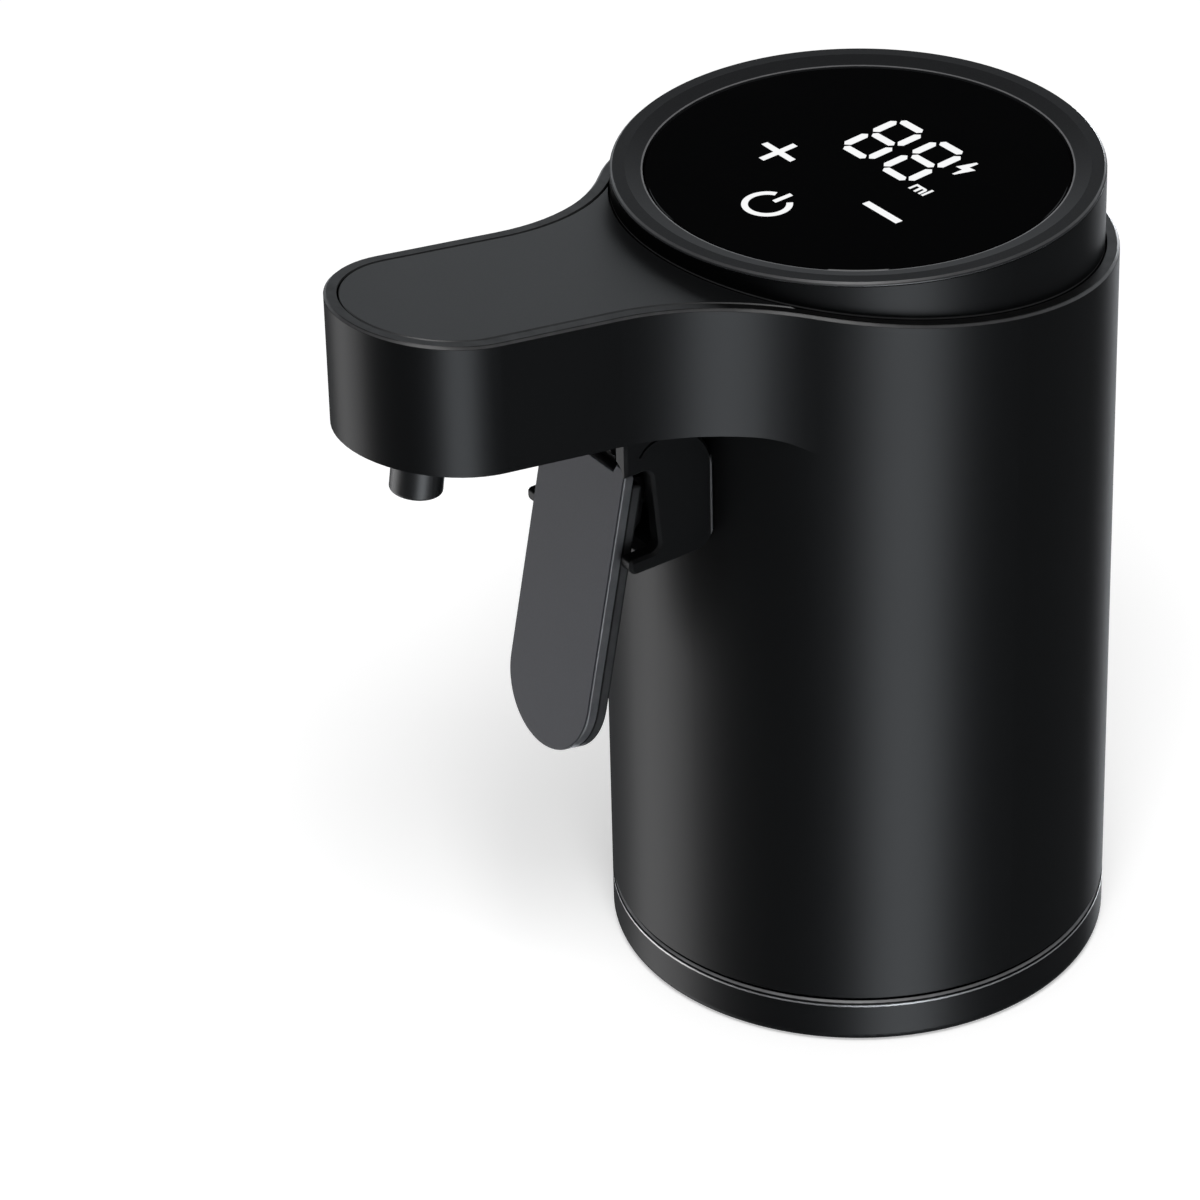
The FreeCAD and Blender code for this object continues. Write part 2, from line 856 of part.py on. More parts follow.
# Outside of the shell: the arm, then the round body, cut off at the sloped rim.
outside = new_body("shell_outside")
arm_plan = sketch_on(outside, "XY_Plane")
arm_outline(arm_plan, 0)
pad(outside, arm_plan, TALL)
cut_below_arm(outside, size_of(0))
round_plan = sketch_on(outside, "XY_Plane", shell_bottom)
draw_circle(round_plan, 0, 0, d.body_radius)
pad(outside, round_plan, TALL)
keep_between(outside, None, d.rim_bevel)
dress(outside, "Chamfer", d.base_chamfer, lambda edge: edge.CenterOfMass.z < shell_bottom.value + 0.001)
rim_edge = sloped_loft("rim_edge", plan_outline, [(size_of(0), d.rim_bevel), (d.rim_bevel, size_of(0))])

# Hollow of the arm above its floor, and the wider recess that takes the cover.
arm_hollow = new_body("arm_hollow")
hollow_plan = sketch_on(arm_hollow, "XY_Plane")
arm_outline(hollow_plan, d.body_wall + d.cover_ledge)
pad(arm_hollow, hollow_plan, TALL)
cut_below_arm(arm_hollow, d.arm_floor)
cover_recess = arm_slab("cover_recess", d.body_wall, d.cover_thickness, None)

TILTED = {"axis": (-1, 0, 0), "angle": d.rim_slope}
socket_level = d.charge_board_level + d.board_thickness + d.socket_height / 2


def stadium(name, width, height, depth, back):
    """A rounded slot that runs along Y, from a depth to a distance behind the axis."""
    body = new_body(name)
    sketch = sketch_on(body, "XZ_Plane")
    reach = (width - height) / 2
    radius = height / 2
    draw_outline(sketch, [
        (reach, -radius), (reach + radius, 0, radius, 1), (reach, radius, radius, 1),
        (-reach, radius), (-reach - radius, 0, radius, 1), (-reach, -radius, radius, 1),
    ])
    pad(body, sketch, depth)
    return place(body, 0, back, socket_level)


def nozzle_place(thing, along=0):
    """Set a thing on the nozzle's axis, at a distance above the arm's underside."""
    front = nozzle_reach - along * sine(d.rim_slope)
    height = rim_at(nozzle_reach, d.arm_depth) + along * cosine(d.rim_slope)
    return place(thing, 0, -front, height, **TILTED)


def yoke_screw_rods(name, radius, start, end):
    """Two rods that run forward, where the screws of the lever housing go."""
    return [
        rod("%s_%d" % (name, index), radius, end - start, side * d.yoke_screw_side, -start,
            yoke_screw_height, **ALONG_FRONT)
        for index, side in enumerate((-1, 1))
    ]


shell_hollowed = cut("shell_hollowed", fuse("shell_outer", [outside, rim_edge]), [
    rod("shell_bore", shell_bore, TALL), arm_hollow, cover_recess,
])
head_shelf = cut("head_shelf", sloped_disc(
    "head_shelf_disc", shell_bore + d.fit_gap, d.shelf_sink + d.shelf_thickness, d.shelf_sink,
), [rod("head_shelf_bore", shelf_radius, TALL)])
deck_ledge = tube("deck_ledge", shell_bore + d.fit_gap, shell_bore - d.deck_ledge, d.deck_ledge_height,
                  z=deck_top + d.fit_gap)
snap_level = shell_bottom + d.snap_rise
snap_groove = turned("snap_groove", [
    (shell_bore - d.fit_gap, snap_level - d.fit_gap),
    (shell_bore + d.snap_bead, snap_level + d.snap_bead),
    (shell_bore + d.snap_bead, snap_level + d.snap_height),
    (shell_bore - d.fit_gap, snap_level + d.snap_height + d.fit_gap),
])
body_shell = cut("body_shell", fuse("shell_solid", [shell_hollowed, head_shelf, deck_ledge] + yoke_screw_rods(
    "screw_pad", d.screw_pad_radius, screw_pad_front, shell_bore,
)), [
    snap_groove,
    nozzle_place(rod("nozzle_hole", d.nozzle_neck_radius + d.fit_gap, d.arm_floor * 3), -d.arm_floor),
    stadium("socket_hole", d.socket_width + d.socket_gap * 2, d.socket_height + d.socket_gap * 2,
            d.body_wall * 3, d.body_radius + d.body_wall),
    rod("wire_hole", d.plunger_radius, d.body_radius + d.body_wall, 0, 0, switch_height, **ALONG_FRONT),
] + yoke_screw_rods(
    "shell_screw_hole", d.yoke_screw_radius + d.fit_gap, neck_radius, d.body_radius + d.body_wall,
))

# Cover plate of the arm: the same plan, let into the recess and hollowed to clear the head.
cover_inset = d.body_wall + d.cover_gap
cover_plate = arm_slab("cover_plate", cover_inset, d.cover_thickness - d.fit_gap, d.cover_edge)
cover_edge = sloped_loft("cover_edge", arm_outline, [
    (cover_inset, d.cover_edge), (cover_inset + d.cover_edge, size_of(0)),
])
arm_cover = cut("arm_cover", fuse("cover_solid", [cover_plate, cover_edge]), [
    rod("arm_cover_back", shell_bore, TALL),
])

# ---------------------------------------------------------------- head and display

head_drum_body = new_body("head_drum_body")
drum_plan = sketch_on(head_drum_body, "XY_Plane")
draw_circle(drum_plan, 0, 0, head_radius)
pad(head_drum_body, drum_plan, bezel_seam)
keep_between(head_drum_body, d.head_sink - d.head_rounding, None)
dress(head_drum_body, "Chamfer", d.seam_chamfer, lambda edge: edge.CenterOfMass.z > bezel_seam.value - 0.001)
rounding_turns = [d.quarter_turn * step / ROUNDING_STEPS for step in range(ROUNDING_STEPS + 1)]
drum_foot = sloped_loft(
    "drum_foot",
    lambda sketch, inset: draw_circle(sketch, 0, 0, head_radius - inset),
    [
        ((1 - sine(turn)) * d.head_rounding, d.head_sink - (1 - cosine(turn)) * d.head_rounding)
        for turn in rounding_turns
    ],
)
head_neck = sloped_disc("head_neck", neck_radius, d.neck_sink, 0)
hook_low = d.neck_sink
hook_high = d.shelf_sink + d.shelf_thickness + d.fit_gap
hook_strips = fuse("hook_strips", [
    block("hook_strip_across", hook_radius * 2, d.hook_width, TALL, 0, 0, 0),
    block("hook_strip_back", d.hook_width, hook_radius, TALL, 0, hook_radius / 2, 0),
])
hook_ring = sloped_disc("hook_ring", hook_radius, hook_low, hook_high)
head_hooks = common("head_hooks", hook_ring, hook_strips)
drum_solid = fuse("drum_solid", [head_drum_body, drum_foot, head_neck, head_hooks])
drum_hollow = cut("drum_hollow", drum_solid, [
    rod("drum_bore", head_bore, ledge_bottom),
    rod("drum_window", ledge_radius, TALL),
    rod("glass_seat", bezel_inner, TALL, z=ledge_top),
    rod("bezel_rebate", bezel_spigot_radius + d.fit_gap, TALL, z=bezel_seat),
])
board_screw_places = circle_places(board_screw_circle, around(HEAD_SCREWS, 90))
board_bosses = [
    rod("board_boss_%d" % index, d.board_boss_radius, d.board_drop + d.fit_gap, x, y, board_top)
    for index, (x, y) in enumerate(board_screw_places)
]
board_pilots = [
    rod("board_pilot_%d" % index, d.yoke_screw_radius + d.fit_gap, d.board_drop + d.ledge_thickness / 2,
        x, y, board_top)
    for index, (x, y) in enumerate(board_screw_places)
]
head_drum = cut("head_drum", fuse("drum_with_bosses", [drum_hollow] + board_bosses), board_pilots)

# Bezel: a thin lip on the drum's top, with a spigot that sits in the drum's rebate.
bezel_ring = turned("bezel_ring", [
    (bezel_inner, bezel_seat + d.fit_gap),
    (bezel_spigot_radius, bezel_seat + d.fit_gap),
    (bezel_spigot_radius, bezel_seam),
    (head_radius - d.seam_chamfer, bezel_seam),
    (head_radius, bezel_seam + d.seam_chamfer),
    (head_radius, head_top - d.edge_chamfer),
    (head_radius - d.edge_chamfer, head_top),
    (head_radius - d.bezel_band, head_top),
    (bezel_inner, head_top - d.bezel_bevel_drop),
])
display_glass = turned("display_glass", [
    (0, glass_bottom),
    (glass_radius, glass_bottom),
    (glass_radius, glass_top - d.glass_chamfer),
    (glass_radius - d.glass_chamfer, glass_top),
    (0, glass_top),
])
glass_tape = tube("glass_tape", glass_radius, ledge_radius, d.tape_thickness, z=ledge_top)

board_disc = rod("board_disc", board_radius, d.board_thickness, z=board_top - d.board_thickness)
control_board = cut("control_board", board_disc, [
    rod("board_hole_%d" % index, d.yoke_screw_radius + d.fit_gap, d.board_thickness,
        x, y, board_top - d.board_thickness)
    for index, (x, y) in enumerate(board_screw_places)
])
board_screws = group("board_screws", [
    screw("board_screw_%d" % index, x, y, board_top - d.board_thickness,
          d.board_thickness + d.board_drop, d.yoke_screw_radius)
    for index, (x, y) in enumerate(board_screw_places)
])
contact_height = glass_bottom - board_top
digit_module = block("digit_module", d.digits_width, d.digits_depth, contact_height - d.fit_gap,
                     0, d.digits_back, board_top)
key_places = [(-d.side_key_offset, -d.side_key_front), (d.side_key_offset, -d.side_key_front),
              (size_of(0), -d.power_key_front)]
touch_springs = group("touch_springs", [
    tube("touch_spring_%d" % index, d.touch_spring_radius, d.touch_spring_radius - d.touch_spring_wall,
         contact_height, x, y, board_top)
    for index, (x, y) in enumerate(key_places)
])
head_gasket = cut("head_gasket", sloped_disc(
    "head_gasket_disc", shell_bore - d.cover_gap, d.shelf_sink, d.head_sink + d.fit_gap,
), [rod("head_gasket_bore", neck_radius + d.fit_gap, TALL)])

# ---------------------------------------------------------------- base, guide and stopper

post_places = circle_places(post_circle, around(BASE_POSTS, -90))
spigot_top = shell_bottom + d.spigot_height
base_turned = turned("base_turned", [
    (base_open_radius, 0),
    (d.body_radius - d.base_rounding, 0),
    (d.body_radius, d.base_rounding, d.base_rounding, 1),
    (d.body_radius, d.base_height - d.base_chamfer),
    (d.body_radius - d.base_chamfer, d.base_height),
    (spigot_radius, d.base_height),
    (spigot_radius, snap_level),
    (spigot_radius + d.snap_bead, snap_level + d.snap_bead),
    (spigot_radius + d.snap_bead, snap_level + d.snap_height - d.fit_gap),
    (spigot_radius, snap_level + d.snap_height),
    (spigot_radius, spigot_top),
    (spigot_radius - d.spigot_wall, spigot_top),
    (spigot_radius - d.spigot_wall, d.base_floor),
    (base_open_radius, d.base_floor),
])


def round_holes(name, places, radius, height, z):
    return [rod("%s_%d" % (name, index), radius, height, x, y, z) for index, (x, y) in enumerate(places)]


intake_turns = [
    (index - (INTAKE_HOLES - 1) / 2) * d.intake_spread + d.intake_turn for index in range(INTAKE_HOLES)
]
intake_places = circle_places(intake_circle, intake_turns)
head_room = d.screw_head_height + d.screw_recess
base_ring = cut(
    "base_ring",
    base_turned,
    round_holes("base_hole", post_places, d.screw_radius + d.screw_clearance, d.base_floor, 0)
    + round_holes("base_head_room", post_places, screw_head_radius + d.screw_clearance, head_room, 0)
    + round_holes("base_intake", intake_places, d.intake_radius, d.base_floor, 0),
)
base_screws = group("base_screws", [
    screw("base_screw_%d" % index, x, y, head_room, d.base_screw_length, d.screw_radius)
    for index, (x, y) in enumerate(post_places)
])

# Guide for the bottle's neck, with a flange under the posts and a pedestal for the charging board.
guide_bore_top = d.guide_bore_start + d.guide_bore_length
flange_bottom = d.base_floor + d.fit_gap
guide_turned = turned("guide_turned", [
    (d.guide_mouth, flange_bottom),
    (guide_flange_radius, flange_bottom),
    (guide_flange_radius, flange_top),
    (d.guide_mouth + d.guide_wall, flange_top),
    (guide_outer, d.guide_bore_start + d.guide_wall),
    (guide_outer, d.guide_top),
    (d.guide_bore + d.guide_relief, d.guide_top),
    (d.guide_bore + d.guide_relief, guide_bore_top),
    (d.guide_bore, guide_bore_top),
    (d.guide_bore, d.guide_bore_start),
])
charge_middle = d.body_radius - d.charge_board_inset + d.charge_board_depth / 2
pedestal_start = flange_top - d.guide_flange / 2
pedestal = block("charge_pedestal", d.pedestal_width, d.pedestal_depth, d.charge_board_level - pedestal_start,
                 0, charge_middle, pedestal_start)
neck_guide = cut(
    "neck_guide",
    fuse("guide_solid", [guide_turned, pedestal]),
    round_holes("guide_hole", post_places, d.screw_radius + d.screw_clearance,
                d.guide_flange * 2, d.base_floor)
    + round_holes("guide_intake", intake_places, d.intake_radius, d.guide_flange * 2, d.base_floor),
)

# Stopper: a core with the wine tube and the air channel, and a ribbed plug that seals the bottle.
core_bottom = d.guide_top - d.core_stem_length
nipple_bottom = core_bottom - d.nipple_length
wine_barb_radius = d.wine_hose_bore - d.barb_gap
air_barb_radius = d.air_hose_bore - d.barb_gap
core_turned = turned("core_turned", [
    (d.wine_bore, nipple_bottom),
    (d.nipple_radius, nipple_bottom),
    (d.nipple_radius, core_bottom),
    (d.core_lip_radius, core_bottom),
    (d.core_lip_radius, core_bottom + d.core_lip),
    (d.core_stem_radius, core_bottom + d.core_lip),
    (d.core_stem_radius, d.guide_top),
    (core_flange_radius, d.guide_top),
    (core_flange_radius, core_top),
    (wine_barb_radius, core_top),
    (wine_barb_radius, core_top + d.barb_length),
    (d.wine_bore, core_top + d.barb_length),
])
air_level = d.guide_top + d.core_flange / 2
core_screw_places = circle_places(core_screw_circle, around(CORE_SCREWS, 90))
stopper_core = cut(
    "stopper_core",
    fuse("core_solid", [core_turned, rod("air_barb", air_barb_radius, d.barb_length + d.core_flange / 2,
                                         0, -d.air_front, air_level)]),
    [
        rod("air_channel_down", d.air_bore, air_level - core_bottom, 0, -d.air_channel, core_bottom),
        rod("air_channel_across", d.air_bore, d.air_front - d.air_channel, 0, -d.air_channel, air_level,
            **ALONG_FRONT),
        rod("air_channel_up", d.air_bore, d.core_flange + d.barb_length, 0, -d.air_front, air_level),
        ball("air_channel_end_down", d.air_bore, 0, -d.air_channel, air_level),
        ball("air_channel_end_up", d.air_bore, 0, -d.air_front, air_level),
    ]
    + round_holes("core_hole", core_screw_places, d.yoke_screw_radius + d.screw_clearance,
                  d.core_flange, d.guide_top),
)
core_screws = group("core_screws", [
    screw("core_screw_%d" % index, x, y, d.guide_top, d.core_screw_length, d.yoke_screw_radius)
    for index, (x, y) in enumerate(core_screw_places)
])

plug_bottom = core_bottom + d.core_lip + d.fit_gap
plug_height = d.guide_top - d.fit_gap - plug_bottom
plug_outline = [(d.core_stem_radius + d.fit_gap, plug_bottom)]
for level in range(PLUG_RIBS * 3):
    share = level / (PLUG_RIBS * 3 - 1)
    ridge = d.plug_rib if level % 3 == 1 else size_of(0)
    plug_outline.append((
        d.plug_tip_radius + (d.plug_top_radius - d.plug_tip_radius) * share + ridge,
        plug_bottom + plug_height * share,
    ))
plug_outline.append((d.core_stem_radius + d.fit_gap, d.guide_top - d.fit_gap))
stopper_plug = turned("stopper_plug", plug_outline)

# ---------------------------------------------------------------- chassis and pump

post_bottom = flange_top + d.fit_gap
post_height = d.deck_level + d.deck_thickness / 2 - post_bottom
chassis = cut(
    "chassis",
    fuse("chassis_solid", [
        rod("deck", shell_bore - d.deck_clearance, d.deck_thickness, z=d.deck_level),
        tube("pump_collar", pump_radius + d.fit_gap + d.deck_collar, pump_radius + d.fit_gap,
             d.deck_collar_height + d.deck_thickness / 2, pump_x, pump_y,
             deck_top - d.deck_thickness / 2),
    ] + round_holes("post", post_places, d.post_radius, post_height, post_bottom)
      + round_holes("standoff", core_screw_places, d.screw_pad_radius,
                    d.deck_level + d.deck_thickness / 2 - core_top, core_top)),
    round_holes("post_pilot", post_places, d.screw_radius + d.fit_gap, d.base_screw_length, post_bottom)
    + round_holes("standoff_pilot", core_screw_places, d.yoke_screw_radius + d.fit_gap,
                  d.core_screw_length - d.core_flange + d.fit_gap, core_top)
    + round_holes("hose_hole", [(0, 0), (0, -d.air_front)], d.deck_slot_radius,
                  d.deck_thickness, d.deck_level)
    + [block("hose_slot", d.deck_slot_radius * 2, d.air_front, d.deck_thickness,
             0, -d.air_front / 2, d.deck_level)],
)

port_level = pump_base + d.pump_port_level
chamber_level = pump_base + d.pump_head_height - d.pump_chamber_depth
pump_head = cut(
    "pump_head",
    fuse("pump_head_solid", [
        rod("pump_head_disc", pump_radius, d.pump_head_height, pump_x, pump_y, pump_base),
        rod("pump_port", air_barb_radius, pump_radius + d.barb_length, pump_x, pump_y, port_level,
            **ALONG_FRONT),
    ]),
    [
        rod("pump_chamber", pump_chamber_radius, d.pump_chamber_depth, pump_x, pump_y, chamber_level),
        rod("pump_outlet", d.air_bore, pump_radius + d.barb_length, pump_x, pump_y, port_level,
            **ALONG_FRONT),
        rod("pump_inlet", d.air_bore, d.pump_head_height,
            pump_x, pump_y + pump_chamber_radius / 2, pump_base),
    ],
)
cup_inner = d.crank_pin_offset + d.crank_pin_radius + d.moving_gap
pump_diaphragm = fuse("pump_diaphragm", [
    rod("diaphragm_disc", pump_radius, d.diaphragm_thickness, pump_x, pump_y, diaphragm_base),
    tube("diaphragm_cup", cup_inner + d.cup_wall, cup_inner, d.cup_height + d.diaphragm_thickness / 2,
         pump_x, pump_y, diaphragm_top - d.diaphragm_thickness / 2),
])
pump_frame = tube("pump_frame", pump_radius, pump_crank_room, d.pump_frame_height, pump_x, pump_y, frame_base)

crank_bottom = diaphragm_top + d.cup_height + d.moving_gap
crank_top = crank_bottom + d.crank_thickness
shaft_foot = crank_bottom + d.crank_floor
pin_bottom = diaphragm_top + d.cup_height - d.crank_pin_dip
pump_crank = cut(
    "pump_crank",
    fuse("crank_solid", [
        rod("crank_disc", d.crank_radius, d.crank_thickness, pump_x, pump_y, crank_bottom),
        rod("crank_hub", d.crank_hub_radius, motor_base - d.moving_gap - crank_bottom,
            pump_x, pump_y, crank_bottom),
        rod("crank_pin", d.crank_pin_radius, crank_top - pin_bottom,
            pump_x + d.crank_pin_offset, pump_y, pin_bottom),
    ]),
    [rod("crank_bore", d.shaft_radius, TALL, pump_x, pump_y, shaft_foot)],
)
motor_shaft = rod("motor_shaft", d.shaft_radius, motor_base + d.shaft_depth - shaft_foot,
                  pump_x, pump_y, shaft_foot)
motor_bore = d.shaft_radius + d.running_gap
pump_motor = place(turned("pump_motor", [
    (motor_bore, 0),
    (motor_radius, 0),
    (motor_radius, d.motor_height - d.edge_chamfer),
    (motor_radius - d.edge_chamfer, d.motor_height),
    (d.motor_cap_radius, d.motor_height),
    (d.motor_cap_radius, d.motor_height + d.motor_cap_height),
    (0, d.motor_height + d.motor_cap_height),
    (0, d.shaft_depth + d.moving_gap),
    (motor_bore, d.shaft_depth + d.moving_gap),
]), pump_x, pump_y, motor_base)

# Check valve, which stands over the air barb of the stopper, and the air hoses to and from it.
check_valve = place(turned("check_valve", [
    (d.air_bore, -d.valve_barb),
    (air_barb_radius, -d.valve_barb),
    (air_barb_radius, 0),
    (d.valve_radius, 0),
    (d.valve_radius, d.valve_length),
    (air_barb_radius, d.valve_length),
    (air_barb_radius, d.valve_length + d.valve_barb),
    (d.air_bore, d.valve_length + d.valve_barb),
]), 0, -d.air_front, d.valve_level)
bottle_hose = tube("bottle_hose", d.air_hose_radius, d.air_hose_bore,
                   d.valve_level - core_top - d.hose_start * 2, 0, -d.air_front, core_top + d.hose_start)


def vector(x, y, z):
    return FreeCAD.Vector(size_of(x).value, size_of(y).value, size_of(z).value)


pump_hose = bent_tube("pump_hose", [
    vector(pump_x, pump_y - pump_radius - d.hose_start, port_level),
    vector(pump_x, -d.air_front, port_level),
    vector(pump_x, -d.air_front, d.air_loop_level),
    vector(0, -d.air_front, d.air_loop_level),
    vector(0, -d.air_front, d.valve_level + d.valve_length + d.hose_start),
], [d.air_bend.value] * 3, d.air_hose_radius.value, d.air_hose_bore.value)

# ---------------------------------------------------------------- power

cell_base = deck_top + d.fit_gap + d.clip_floor
battery_cell = place(turned("battery_cell", [
    (0, 0),
    (d.cell_radius - d.edge_chamfer, 0),
    (d.cell_radius, d.edge_chamfer),
    (d.cell_radius, d.cell_height - d.edge_chamfer),
    (d.cell_radius - d.edge_chamfer, d.cell_height),
    (d.cell_button_radius, d.cell_height),
    (d.cell_button_radius, d.cell_height + d.cell_button_height),
    (0, d.cell_height + d.cell_button_height),
]), cell_x, cell_y, cell_base)
clip_bore = d.cell_radius + d.fit_gap
battery_clip = cut("battery_clip", rod(
    "clip_outside", clip_bore + d.clip_wall, d.clip_height, cell_x, cell_y, deck_top + d.fit_gap,
), [rod("clip_inside", clip_bore, d.clip_height, cell_x, cell_y, cell_base - d.fit_gap)])
charge_board = block("charge_board", d.charge_board_width, d.charge_board_depth, d.board_thickness,
                     0, charge_middle, d.charge_board_level)
socket_back = d.body_radius - d.socket_recess
tongue_root = socket_back - d.socket_depth + d.socket_back_wall / 2
tongue_run = d.tongue_length + d.socket_back_wall / 2
socket_outside = stadium("socket_outside", d.socket_width, d.socket_height, d.socket_depth, socket_back)
charge_socket = fuse("charge_socket", [
    cut("socket_can", socket_outside, [
        stadium("socket_inside", d.socket_width - d.socket_wall * 2, d.socket_height - d.socket_wall * 2,
                d.socket_depth - d.socket_back_wall, socket_back),
    ]),
    block("socket_tongue", d.tongue_width, tongue_run, d.tongue_thickness, 0,
          tongue_root + tongue_run / 2, socket_level - d.tongue_thickness / 2),
])

# ---------------------------------------------------------------- nozzle

nozzle_turned = turned("nozzle", [
    (d.nozzle_bore, -d.nozzle_length),
    (d.nozzle_radius - d.nozzle_rounding, -d.nozzle_length),
    (d.nozzle_radius, -d.nozzle_length + d.nozzle_rounding, d.nozzle_rounding, 1),
    (d.nozzle_radius, -d.fit_gap),
    (d.nozzle_neck_radius, -d.fit_gap),
    (d.nozzle_neck_radius, d.nozzle_neck_length),
    (d.nozzle_bore, d.nozzle_neck_length),
])
nozzle = nozzle_place(nozzle_turned)
nozzle_washer = nozzle_place(tube(
    "nozzle_washer", d.washer_radius, d.nozzle_neck_radius + d.fit_gap, d.washer_thickness,
), d.arm_floor + d.fit_gap)
nozzle_nut = nozzle_place(cut("nozzle_nut", hexagon("nut_solid", d.nut_radius, d.nut_height), [
    rod("nut_bore", d.nozzle_neck_radius + d.fit_gap, d.nut_height),
]), d.arm_floor + d.washer_thickness + d.fit_gap * 2)
nozzle_elbow = nozzle_place(cut("nozzle_elbow", fuse("elbow_solid", [
    rod("elbow_post", d.elbow_radius, d.elbow_height, z=d.elbow_start),
    rod("elbow_barb", wine_barb_radius, d.elbow_radius + d.barb_length, z=d.elbow_level, **ALONG_BACK),
]), [
    rod("elbow_socket", d.nozzle_neck_radius + d.fit_gap, d.elbow_socket, z=d.elbow_start),
    rod("elbow_bore_up", d.wine_bore, d.elbow_level - d.elbow_start, z=d.elbow_start),
    rod("elbow_bore_back", d.wine_bore, d.elbow_radius + d.barb_length, z=d.elbow_level, **ALONG_BACK),
    ball("elbow_bore_end", d.wine_bore, 0, 0, d.elbow_level),
]))

# Wine hose: up from the stopper, round one bend, and along the arm to the elbow.
hose_height = rim_at(0, d.arm_depth) + d.elbow_level / cosine(d.rim_slope)
hose_end_run = d.elbow_radius + d.hose_start
hose_end_front = nozzle_reach - d.elbow_level * sine(d.rim_slope) - hose_end_run * cosine(d.rim_slope)
wine_hose = bent_tube("wine_hose", [
    vector(0, 0, core_top + d.hose_start),
    vector(0, 0, hose_height),
    vector(0, -hose_end_front, hose_height + hose_end_front * slope),
], [d.wine_bend.value], d.wine_hose_radius.value, d.wine_hose_bore.value)

# ---------------------------------------------------------------- lever housing

corner_front = yoke_back + d.yoke_top_corner
corner_level = rim_at(corner_front, d.arm_depth + d.fit_gap) - d.yoke_top_corner / cosine(d.rim_slope)
yoke_solid = new_body("yoke_solid")
yoke_side = sketch_on(yoke_solid, "YZ_Plane")
lip_top = yoke_bottom + d.yoke_floor
draw_outline(yoke_side, [
    (-yoke_front, brow_height),
    (-yoke_front, rim_at(yoke_front, d.arm_depth + d.fit_gap)),
    (-corner_front + d.yoke_top_corner * sine(d.rim_slope),
     corner_level + d.yoke_top_corner * cosine(d.rim_slope)),
    (-yoke_back, corner_level, d.yoke_top_corner, -1),
    (-yoke_back, yoke_bottom + d.yoke_low_corner),
    (-yoke_back - d.yoke_low_corner, yoke_bottom, d.yoke_low_corner, -1),
    (-lip_front + d.lip_rounding, yoke_bottom),
    (-lip_front, yoke_bottom + d.lip_rounding, d.lip_rounding, -1),
    (-lip_front, lip_top - d.lip_edge),
    (-lip_front + d.lip_edge, lip_top, d.lip_edge, -1),
    (-slot_low_depth - d.slot_low_corner, lip_top),
    (-slot_low_depth, lip_top + d.slot_low_corner, d.slot_low_corner, 1),
    (-slot_top_depth, brow_height - d.slot_corner),
    (-slot_front, brow_height, d.slot_corner, 1),
])
pad(yoke_solid, yoke_side, d.yoke_half_width * 2, both_ways=True)
dress(yoke_solid, "Chamfer", d.yoke_edge, lambda edge: all(
    abs(abs(vertex.X) - d.yoke_half_width.value) < 0.001 for vertex in edge.Vertexes
) and abs(abs(edge.CenterOfMass.x) - d.yoke_half_width.value) < 0.001
    and edge.CenterOfMass.z < arm_root.value - d.yoke_edge.value)
yoke_room = sketch_on(yoke_solid, "YZ_Plane")
room_back = d.body_radius + d.yoke_wall
draw_outline(yoke_room, [
    (-nozzle_reach, 0),
    (-floor_front, 0),
    (-floor_front, lip_top),
    (-room_back, lip_top),
    (-room_back, TALL),
    (-nozzle_reach, TALL),
])
pocket(yoke_solid, yoke_room, (d.yoke_half_width - d.cheek_thickness) * 2, both_ways=True)
tongue_cut = sketch_on(yoke_solid, "YZ_Plane")


def round_pin(radius, angle):
    """A point beside the hinge pin, as a corner of an outline in the YZ plane."""
    return (radius * cosine(angle) - pin_front, radius * sine(angle) + pin_height)


cut_outer = d.tongue_cut_radius + d.tongue_cut_width / 2
cut_inner = d.tongue_cut_radius - d.tongue_cut_width / 2
draw_outline(tongue_cut, [
    round_pin(cut_outer, d.tongue_cut_from),
    round_pin(cut_outer, d.tongue_cut_to) + (cut_outer, 1),
    round_pin(cut_inner, d.tongue_cut_to),
    round_pin(cut_inner, d.tongue_cut_from) + (cut_inner, -1),
])
pocket(yoke_solid, tongue_cut, d.yoke_half_width * 2, both_ways=True)
room_half = d.yoke_half_width - d.cheek_thickness
pin_half = room_half + d.pin_seat
switch_width = (d.switch_half_width + d.switch_gap) * 2
lever_housing = cut("lever_housing", fuse("yoke_with_bosses", [yoke_solid] + yoke_screw_rods(
    "yoke_boss", d.yoke_boss_radius, d.body_radius, yoke_boss_front,
) + [rod("tie_bar", d.tie_radius, d.yoke_half_width * 2 - d.cheek_thickness,
         -d.yoke_half_width + d.cheek_thickness / 2, -tie_front, tie_height, **ALONG_X)]), [
    rod("yoke_back_cut", d.body_radius + d.fit_gap, TALL),
    rod("pin_seats", d.pin_radius, pin_half * 2, -pin_half, -pin_front, pin_height, **ALONG_X),
    block("switch_window", switch_width, d.yoke_wall * 3, switch_width, 0, -room_back,
          switch_height - switch_width / 2),
]
    + yoke_screw_rods("yoke_pilot", d.yoke_screw_radius, shell_bore, yoke_boss_front - d.yoke_pilot_floor)
    + [
        rod("brow_relief_%d" % index, d.relief_radius, yoke_front - slot_front + d.yoke_edge,
            side * (room_half - d.relief_inset), -slot_front, brow_height, **ALONG_FRONT)
        for index, side in enumerate((-1, 1))
    ])
hinge_pin = rod("hinge_pin", d.pin_radius, pin_half * 2, -pin_half, -pin_front, pin_height, **ALONG_X)
housing_screws = group("housing_screws", [
    screw("housing_screw_%d" % index, side * d.yoke_screw_side, -screw_pad_front, yoke_screw_height,
          d.yoke_screw_length, d.yoke_screw_radius, **ALONG_FRONT)
    for index, side in enumerate((-1, 1))
])

